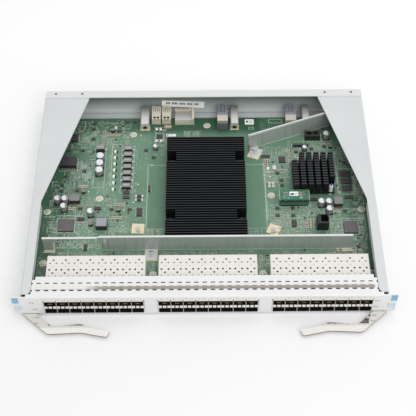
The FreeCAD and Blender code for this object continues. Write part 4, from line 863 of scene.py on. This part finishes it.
def fit_gold_lands():
    """Bare gold lands where the baffles and brackets are screwed down, and other bare spots."""
    plate = soften(block((15.2, 15.0, 0.16), GOLD, COAL), 0.1)
    slot = soften(block((6.0, 1.6, 0.08), BRASS, at=(0.6, -5.2, 0.13)), 0.03)
    copies("square_ground_lands", unite("plate", plate, slot),
           [(-81.3, -42.2, BOARD_TOP, -3), (84.9, -45.2, BOARD_TOP, -24)])
    copies("foot_ground_lands", recess(block((15.4, 18.4, 0.16), GOLD), 1.0, 0.06),
           [(-64.0, -81.8, BOARD_TOP, 0), (66.0, 80.0, BOARD_TOP, -22)])
    copies("tab_ground_lands", soften(block((6.6, 3.2, 0.2), GOLD), 0.06),
           on_board([(-190.0, -76.4), (-183.0, -76.4), (162.8, -76.9), (174.6, -76.9),
                     (168.6, -77.3)]))
    fold = block((3.2, 0.5, 17.0), GOLD, at=(-180.9, -75.36, BOARD_TOP))
    shape(fold, upward, bpy.ops.transform.resize, value=(0.4, 1.0, 1.0),
          center_override=(-178.6 * MM, 0, 0))
    carry("baffle_tab_fold", soften(fold, 0.15))
    copies("foot_locating_slots", soften(block((5.2, 1.5, 0.1), BRASS), 0.03),
           [(-64.3, -77.4, BAFFLE_FOOT, 0), (63.4, 84.6, BAFFLE_FOOT, -22)])
    copies("gold_test_points", soften(drum(1.05, 0.12, 10, GOLD), 0.04), on_board(
        [(-130, 120.7), (-145.5, 17), (-168.5, 48), (-100.2, -13.5), (-100.2, -37.5),
         (-88.7, -0.8), (-84, 28.5), (130, -19.5), (125, 77.5), (118.5, 65), (80.5, 40.3),
         (83.8, 40.3), (80.5, 47.5), (84, 47.5), (103.5, 47.8), (106.8, 47.8), (-82.5, 112.5),
         (125.0, 87.6), (118.6, 74.4), (166.0, 60.0), (157.5, 96.0), (-67.0, 61.0)]))
    # A tooling hole's centre is painted near black, as the shade in the hole.
    hole = recess(drum(1.5, 0.14, 12, COAL, BROWN_RIVET), 0.5, 0.05)
    paint(hole, 1, lambda middle, normal: middle.x ** 2 + middle.y ** 2 > 0.9)
    copies("tooling_holes", hole,
           on_board([(-109, 94.2), (-121.5, 9.2), (156.6, 123.0), (166.4, 126.5)]))
    copies("white_jumpers", soften(block((3.0, 4.6, 0.3), PAPER), 0.1), on_board(
        [(-116.5, 127), (82, 54), (122, 70), (-62.2, 124), (-57, 124), (-62, 102.6),
         (-56, 102.6), (-48.0, 112.6), (-44.6, 112.6), (-41.2, 112.6), (-38.2, 112.6)]))


def fit_cans():
    """Round aluminium can capacitors on notched black bases, one side of each top printed."""
    for node, radius, base_side, print_finish, print_edge in (
            ("electrolytic_capacitors", 4.05, 8.4, CAN_PRINT, 1.6),
            ("polymer_capacitors", 4.95, 10.2, SKY_PRINT, -3.0)):
        finishes = (CAN_SIDE, CAN_TOP, print_finish, COAL)
        kinds = {}
        for low, high in solids(node):
            kind = (round(high.z - low.z, 1), round(high.x - low.x, 1))
            kinds.setdefault(kind, []).append(centre(low, high))
        shown = []
        for (tall, wide), spots in kinds.items():
            share = wide / base_side
            edge = print_edge * share
            base = soften(paint(block((wide, wide, 1.5), *finishes), 3, everything), 0.5)
            can = drum(radius * share, tall - 0.8, 26, *finishes, at=(0, 0, 0.8))
            slice_at(soften(can, 0.45, 3, upward), 0, edge)
            paint(can, 1, lambda middle, normal: normal.z > 0.6)
            paint(can, 2, lambda middle, normal: normal.z > 0.95
                  and (middle.x < edge) == (print_edge < 0))
            swell(slice_at(can, 2, 2.6), -0.25, lambda middle, normal: 0.9 < middle.z < 2.6
                  and abs(normal.z) < 0.4)
            shown.append(copies("can_kind", unite("can", can, base), on_board(spots, 8)))
        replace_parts(carry(node.replace("capacitors", "cans"), *shown), node)


def fit_coils():
    """Drum chokes with their winding showing, and the ends and caps of the larger ones."""
    def wound(middle, normal):
        return abs(normal.z) < 0.4 and 1.0 < middle.z < 2.8

    spool = slice_at(drum(2.85, 4.0, 18, SHIELD, COAL), 2, 1.0, 2.8)
    paint(swell(spool, -0.5, wound), 1, wound)
    whole = copies("wound_drum_chokes", soften(spool, 0.25, 2, upward),
                   on_board(middles("drum_inductors")))
    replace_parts(whole, "drum_inductors")
    wide, narrow = [], []
    for low, high in solids("power_inductors"):
        if high.x - low.x > 13.3:  # wide ones have a cap, the others show their winding's end
            wide.append((*centre(low, high), high.z, 0))
        else:
            narrow.append((centre(low, high)[0] + 0.6, low.y - 0.2, BOARD_TOP + 0.2, 0))
    copies("alloy_inductor_cap", soften(block((12.2, 12.0, 0.12), BLUE_SHIELD), 0.05), wide)
    copies("inductor_winding_ends", soften(block((6.0, 0.5, 1.5), COPPER), 0.2, 2), narrow)
    chokes = solids("output_chokes")
    copies("choke_terminals", soften(block((1.6, 2.6, 2.2), SOLDER), 0.25, 2), on_board(
        [(end, centre(low, high)[1] + 0.4) for low, high in chokes
         for end in (low.x - 0.6, high.x + 0.6)]))
    copies("choke_top_seams", soften(block((8.0, 0.45, 0.08), CAN_TOP), 0.03),
           [(*centre(low, high), high.z - 0.02, 0) for low, high in chokes])
    # A domed stud, its right side painted near black as shade and the rest nearly white as a
    # highlight.
    stud = slice_at(soften(drum(2.6, 2.2, 18, SOLDER, COAL), 0.7, 3, upward), 0, 0.8)
    paint(stud, 1, lambda middle, normal: middle.x > 0.8)
    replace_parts(copies("domed_test_studs", stud, on_board(middles("test_studs"))), "test_studs")


def fit_leads():
    """Gull-wing leads of the chips, tabs of the power transistors, and first-pin dots."""
    places = []
    for node, pitch in (("leaded_chips", 1.27), ("power_transistors", 1.7)):
        for low, high in solids(node):
            wide, deep = high.x - low.x, high.y - low.y
            across, along = centre(low, high)
            length = max(wide, deep) - 1.6
            count = max(2, int(length / pitch) + 1)
            for number in range(count):
                offset = (number - (count - 1) / 2) * length / (count - 1)
                if wide > deep:
                    places += [(across + offset, high.y + 0.6, BOARD_TOP, 90),
                               (across + offset, low.y - 0.6, BOARD_TOP, -90)]
                else:
                    places += [(high.x + 0.6, along + offset, BOARD_TOP, 0),
                               (low.x - 0.6, along + offset, BOARD_TOP, 180)]
    lead = slice_at(block((1.6, 0.55, 0.9), TIN), 0, 0.1)
    drop(lead, 0.7, lambda middle, normal: middle.x > 0.1 and normal.z > 0.9)
    copies("gull_wing_leads", lead, places)
    places = []
    for low, high in solids("small_chips"):
        steps = max(2, int((high.x - low.x) / 1.1))
        for number in range(steps):
            across = low.x + (number + 0.5) * (high.x - low.x) / steps
            places += on_board([(across, high.y + 0.3), (across, low.y - 0.3)], 90)
    copies("fine_leads", soften(block((0.9, 0.45, 0.4), TIN), 0.08), places)
    copies("first_pin_dots", soften(drum(0.55, 0.05, 10, SKY_PRINT), 0.02),
           [(low.x + 1.8, low.y + 1.8, high.z, 0) for low, high in solids("array_chips")])


def fit_push_pins():
    """Nylon push pins: white barrel and a violet-blue centre pin."""
    barrel = soften(drum(2.6, 15.5, 20, WHITE_NYLON, VIOLET_NYLON), 0.8, 3, upward)
    tip = drum(1.3, 2.6, 14, WHITE_NYLON, VIOLET_NYLON, at=(0, 0, 15.3))
    paint(soften(tip, 0.4, 2, upward), 1, everything)
    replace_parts(copies("push_pin_barrels", unite("barrel", barrel, tip),
                       on_board(middles("push_pins"))), "push_pins")


def fit_connectors():
    """Contacts, sockets and rims of the connectors along the rear of the board."""
    for low, high in solids("guide_sockets"):
        middle = centre(low, high)[0]
        rim = block((high.x - low.x + 1.6, 9.0, 0.3), GOLD, at=(middle, low.y + 3.4, BOARD_TOP))
        carry("guide_socket_rim_%d" % (middle + HALF_WIDTH), recess(rim, 0.5, 0.1))
        # Each bore is a shallow recess whose centre is painted near black, as the shade inside it.
        hole = recess(drum(2.9, 0.5, 22, BRASS, COAL), 0.7, 0.35)
        paint(hole, 1, lambda place, normal: place.x ** 2 + place.y ** 2 < 4.4 and normal.z > 0.5)
        copies("guide_bore_%d" % (middle + HALF_WIDTH), turned(hole, 90, "X"),
               [(middle, low.y + 0.3, BOARD_TOP + 4.6, 0)])

    blocks = solids("power_connectors")
    # Darker ivory strips painted as the shade in the connectors' grooves.
    copies("power_connector_groove_shade", soften(block((0.9, 8.6, 0.1), SHADED_IVORY), 0.04),
           [(centre(low, high)[0] + across, high.y - 6.4, high.z, 0)
            for low, high in blocks for across in (-3.6, -1.2, 1.2, 3.6)])
    copies("power_socket_mouths", recess(drum(1.75, 0.3, 16, BLACK_STEEL, COAL), 0.55, 0.25),
           [(centre(low, high)[0] + across, low.y + 2.4, high.z, 0)
            for low, high in blocks for across in (-2.2, 2.2)])

    frame_low, frame_high = span("shroud_frame")
    core_low, core_high = span("shroud_core")
    pitch = 1.5
    copies("shroud_contact_combs", soften(block((0.7, 1.5, 0.5), BRASS), 0.12),
           [(frame_low.x + 2.4 + pitch * number, along, level, 0)
            for number in range(int((frame_high.x - frame_low.x - 4) / pitch))
            for along, level in ((core_low.y - 0.7, core_low.z + 1.6),
                                 (core_high.y + 0.8, frame_high.z - 0.3))])
    lip = block((core_high.x - core_low.x, 0.7, 1.0), TIN,
                at=((core_low.x + core_high.x) / 2, core_low.y - 0.2, core_high.z - 3.2))
    carry("shroud_front_fold", soften(lip, 0.25, 2))

    bump = recess(soften(block((2.6, 2.8, 0.9), SIGNAL_NYLON), 0.35, 2, upward), 0.5, 0.25)
    copies("signal_connector_wafers", bump,
           [(centre(low, high)[0] + across, high.y - back, high.z - 0.1, 0)
            for low, high in solids("signal_connectors") for across in (-4.3, 0.0, 4.3)
            for back in (2.6, 6.8, 11.0)])

    low, high = span("twin_connector")
    middle = centre(low, high)[0]
    copies("twin_connector_contacts", soften(block((0.9, 0.6, 3.4), BRASS), 0.2),
           [(middle + across, high.y - 3.6, high.z - 4.6, 0) for across in (-6.0, -3.6, 3.6, 6.0)])
    jack_low, jack_high = span("upright_jack")
    legs = row((middle - 5.2, low.y - 0.8), (2.6, 0), 5)
    legs += [(across, jack_high.y + 1.2, BOARD_TOP, turn)
             for across, turn in ((jack_low.x - 0.4, -50), (jack_high.x + 0.6, 50))]
    copies("solder_legs", soften(block((0.7, 1.4, 0.5), TIN), 0.12), legs)
    low, high = span("strip_header")
    copies("strip_header_pegs", soften(block((0.6, 0.6, 0.4), TIN), 0.15),
           row((low.x + 1.4, (low.y + high.y) / 2), (1.86, 0), 10, height=high.z - 0.1))


def fit_daughterboard():
    """The plug-in board's bare rim, header, chips and small parts."""
    low, high = span("daughterboard")
    middle = (low + high) / 2
    rim = recess(block((high.x - low.x + 0.5, high.y - low.y + 0.5, 0.5), BARE_EDGE,
                       at=(middle.x, middle.y, high.z - 0.42)), 0.7, 0.12)
    shape(rim, lambda place, normal: normal.z > 0.9 and abs(place.x - middle.x) < 15,
          bpy.ops.mesh.delete, type="FACE")
    carry("daughterboard_gold_rim", rim)
    copies("daughterboard_header_pins", soften(block((1.5, 1.6, 4.4), BLACK_PLASTIC), 0.2),
           row((low.x + 2.0, low.y + 0.1), (2.4, 0), 15, height=high.z - 4.0))
    shell = block((34.6, 0.6, 7.4), TEAL_POLYMER, at=(middle.x, low.y + 0.2, BOARD_TOP + 2.6))
    carry("daughterboard_header_face", soften(shell, 0.15))
    copies("daughterboard_chips", soften(block((3.4, 2.6, 0.9), SHIELD), 0.2),
           [(middle.x - 13.2, middle.y + 1.6, high.z, 0),
            (middle.x + 12.4, middle.y - 0.4, high.z, 0)])
    copies("daughterboard_fuses", soften(block((1.6, 1.6, 0.5), BRASS), 0.2),
           [(low.x + 3.0, high.y - 3.0, high.z, 0), (high.x - 3.4, high.y - 3.0, high.z, 0),
            (high.x - 3.0, low.y + 4.6, high.z, 0)])
    places = strewn([(low.x + 6, low.y + 3, low.x + 12, high.y - 2),
                     (high.x - 12, low.y + 3, high.x - 6, high.y - 2)], 2.2, None)
    copies("daughterboard_passives", small_part((1.4, 0.8, 0.5), CERAMIC),
           [(across, along, high.z, turn) for across, along, _, turn in places])


def fit_label(name, size, place, tilt, lean, bars):
    """A paper label with plain printed bars, given by shares of its width and height."""
    width, height = size
    pieces = [soften(block((width, height, 0.12), PAPER, LABEL_INK), 0.9, 3, sideways)]
    for left, right, level, thick in bars:
        spot = (((left + right) / 2 - 0.5) * width, level * height, 0.12)
        bar = block(((right - left) * width, thick, 0.03), LABEL_INK, at=spot)
        pieces.append(soften(bar, 0.01))
    whole = turned(turned(unite(name, *pieces), tilt), lean, "X")
    copies(name, whole, [(*place, 0)])


def fit_labels():
    """Labels with plain bars: one on the rear wall, one on the board, one on the plug-in board."""
    stripe = 0.035  # of the label's width
    fit_label("rear_wall_label", (57.0, 8.6), (-27.6, REAR - 2.6, 15.4), -3.0, 74,
              [(0.10 + stripe * number, 0.124 + stripe * number, 0.05, 3.0)
               for number in range(22) if number % 5 != 3])
    fit_label("board_label", (12.0, 9.2), (60.6, 135.2, BOARD_TOP), 0, 0,
              [(0.14, 0.36, 0.14, 3.4), (0.44, 0.86, 0.26, 0.5), (0.44, 0.8, 0.08, 0.5),
               (0.44, 0.84, -0.1, 0.5)])
    low, high = span("daughterboard")
    middle = (low + high) / 2
    fit_label("daughterboard_label", (11.2, 6.6), (middle.x - 0.6, middle.y + 1.4, high.z), 0, 0,
              [(0.12, 0.5, 0.0, 3.0), (0.56, 0.9, 0.2, 0.5), (0.56, 0.86, -0.1, 0.5),
               (0.0, 1.0, 0.48, 0.5), (0.0, 1.0, -0.48, 0.5)])


def fit_panel_marks():
    """Port numbers over the cages, indicator rings, blank end plates and the lower edge line."""
    numbers = []
    for place, middle in enumerate(PORT_MIDDLES):
        for number, shift in ((2 * place, -3.4), (2 * place + 1, 3.4)):
            bpy.ops.object.select_all(action="DESELECT")
            bpy.ops.object.text_add(location=(0, 0, 0))
            text = bpy.context.object
            text.data.body = str(number)
            text.data.size = 2.3 * MM
            text.data.extrude = 0.02 * MM
            text.data.resolution_u = 1
            text.data.align_x = "CENTER"
            bpy.ops.object.convert(target="MESH")
            text.rotation_euler = (math.radians(90), 0, 0)
            text.location = Vector((middle + shift, FRONT - 0.03, 32.0)) * MM
            numbers.append(finished(settled(), (MARK_INK,)))
    carry("port_numbers", *numbers)

    lens = recess(drum(2.7, 0.2, 24, MARK_INK, PANEL_STEEL), 0.7, 0.1)
    paint(lens, 1, lambda middle, normal: normal.z > 0.9 and middle.x ** 2 + middle.y ** 2 < 3.6)
    shape(lens, everything, bpy.ops.transform.resize, value=(1.0, 0.42, 1.0),
          center_override=(0, 0, 0))
    copies("indicator_rings", turned(lens, 90, "X"),
           [(-197.2, FRONT, 26.2, 0), (-194.4, FRONT, 13.4, 0),
            (196.2, FRONT, 26.1, 0), (195.8, FRONT, 14.2, 0)])

    plate = soften(block((7.4, 9.4, 0.12), BLUE_ENAMEL, PANEL_STEEL), 1.4, 3, sideways)
    paint(recess(plate, 1.9, 0.05), 1, lambda middle, normal: normal.z > 0.9
          and max(abs(middle.x), abs(middle.y)) > 2.0)
    copies("blank_end_plates", turned(plate, 90, "X"),
           [(side * (HALF_WIDTH + 4.4), FRONT - 0.02, 17.4, 0) for side in (-1, 1)])
    line = block((2 * HALF_WIDTH - 16, 0.05, 0.6), MARK_INK, at=(0, FRONT - 0.02, 3.6))
    carry("panel_lower_line", soften(line, 0.015))


def fit_ports():
    """Painted shadow plates in the flange's slots, tongues and ledges in the ports, pins and tabs
    of the cages.
    """
    slot_pitch, slot_rows = 9.45, (9.8, 19.7)
    # Near-black plates just below the slots are painted shadow, the dark seen through them.
    copies("flange_slot_shadow_plates", soften(block((4.9, 1.65, 0.3), COAL), 0.05),
           [(slot_pitch * number, FRONT + setback, FLANGE_TOP - 0.45, 0)
            for number in range(-20, 21) for setback in slot_rows])
    low, high = span("port_separators_middle")
    tongue = slice_at(block((5.0, 1.2, 0.5), SHADED_SPRING), 0, -1.3, 1.3)
    drop(tongue, 0.5, lambda middle, normal: abs(middle.x) < 1.3)
    copies("port_latch_tongues", soften(tongue, 0.1),
           [(middle, FRONT + 1.0, high.z + 3.2, 0) for middle in PORT_MIDDLES])
    copies("lower_port_ledges", soften(block((8.4, 0.6, 0.45), BLACK_STEEL), 0.15, 2),
           [(middle, FRONT + 1.6, low.z - 3.8, 0) for middle in PORT_MIDDLES])
    pins = []
    for side in SIDES:
        low, high = span("cage_" + side)
        pins += row((low.x + 3.0, high.y + 0.5 + 0.3), (3.56, 0), 32, height=BOARD_TOP + 0.4)
    copies("cage_rear_pins", soften(block((1.0, 1.2, 1.8), DARK_EPOXY), 0.2), pins)
    copies("cage_roof_tabs", soften(block((0.9, 0.5, 0.16), CERAMIC), 0.05),
           [(middle + 1.2, CAGE_HIGH.y - 10.5, CAGE_HIGH.z - 0.06, 90) for middle in PORT_MIDDLES])


# ---------------------------------------------------------------- floor, light and camera
def set_room():
    """A pale floor and an even, soft light from above and in front."""
    bpy.ops.object.select_all(action="DESELECT")
    bpy.ops.mesh.primitive_plane_add(size=8.0, location=(0, 0, -0.0002))
    floor = bpy.context.object
    floor.name = "floor"
    # Paper sweep: white to the eye and in reflections, plain pale paper to the light.
    paper, place = start("pale_paper_sweep", Roughness=0.9, Base_Color=colour("#DCDCDC"),
                         Emission_Color=colour("#FFFFFF"))
    path = add(paper, "LightPath", {}).node.outputs
    seen = add(paper, "Math", (path["Is Camera Ray"], path["Is Glossy Ray"]), operation="MAXIMUM")
    glow = add(paper, "MapRange", {"Value": rise(paper, place, "Y", -250.0, 300.0),
                                   "To Min": 0.215, "To Max": 0.305})
    shown = add(paper, "Math", (seen, glow), operation="MULTIPLY")
    floor.data.materials.append(wire(paper, Emission_Strength=shown))

    world = bpy.data.worlds.new("studio")
    world.use_nodes = True
    bpy.context.scene.world = world
    sky = world.node_tree.nodes["Background"]
    sky.inputs["Color"].default_value = colour("#FFFFFF")
    path = add(world, "LightPath", {}).node.outputs
    seen = add(world, "Math", (path["Is Camera Ray"], path["Is Glossy Ray"]), operation="MAXIMUM")
    also = add(world, "Math", (seen, path["Is Transmission Ray"]), operation="MAXIMUM")
    level = add(world, "MapRange", {"Value": also, "To Min": 0.7, "To Max": 0.97})
    world.node_tree.links.new(level, sky.inputs["Strength"])

    for name, place, size, power in (("front_softbox", (0.75, -1.4, 1.5), 1.3, 14.0),
                                     ("overhead_softbox", (0.5, 0.3, 1.9), 1.2, 6.0)):
        lamp = bpy.data.lights.new(name, "AREA")
        lamp.size = size
        lamp.energy = power
        holder = bpy.data.objects.new(name, lamp)
        holder.location = place
        holder.visible_glossy = False
        holder.rotation_euler = (-Vector(place)).to_track_quat("-Z", "Y").to_euler()
        bpy.context.scene.collection.objects.link(holder)


def set_camera():
    """A long lens above the front of the card, looking down at the board."""
    pitch, yaw, roll = (math.radians(value) for value in (51.236, 0.173, -0.287))
    ahead = Vector((math.sin(yaw) * math.cos(pitch), math.cos(yaw) * math.cos(pitch),
                    -math.sin(pitch)))
    level = Vector((math.cos(yaw), -math.sin(yaw), 0))
    over = level.cross(ahead)
    right = level * math.cos(roll) + over * math.sin(roll)
    up = over * math.cos(roll) - level * math.sin(roll)
    lens = bpy.data.cameras.new("camera")
    lens.sensor_width = 36.0
    lens.lens = 89.1
    camera = bpy.data.objects.new("camera", lens)
    turn = Matrix((right, up, -ahead)).transposed().to_4x4()
    camera.matrix_world = Matrix.Translation(Vector((2.209, -811.785, 1003.689)) * MM) @ turn
    bpy.context.scene.collection.objects.link(camera)
    bpy.context.scene.camera = camera


fit_passives()
fit_screen_print()
fit_fasteners()
fit_gold_lands()
fit_cans()
fit_coils()
fit_leads()
fit_push_pins()
fit_connectors()
fit_daughterboard()
fit_labels()
fit_panel_marks()
fit_ports()
set_room()
set_camera()
bpy.context.scene.view_settings.view_transform = "Standard"
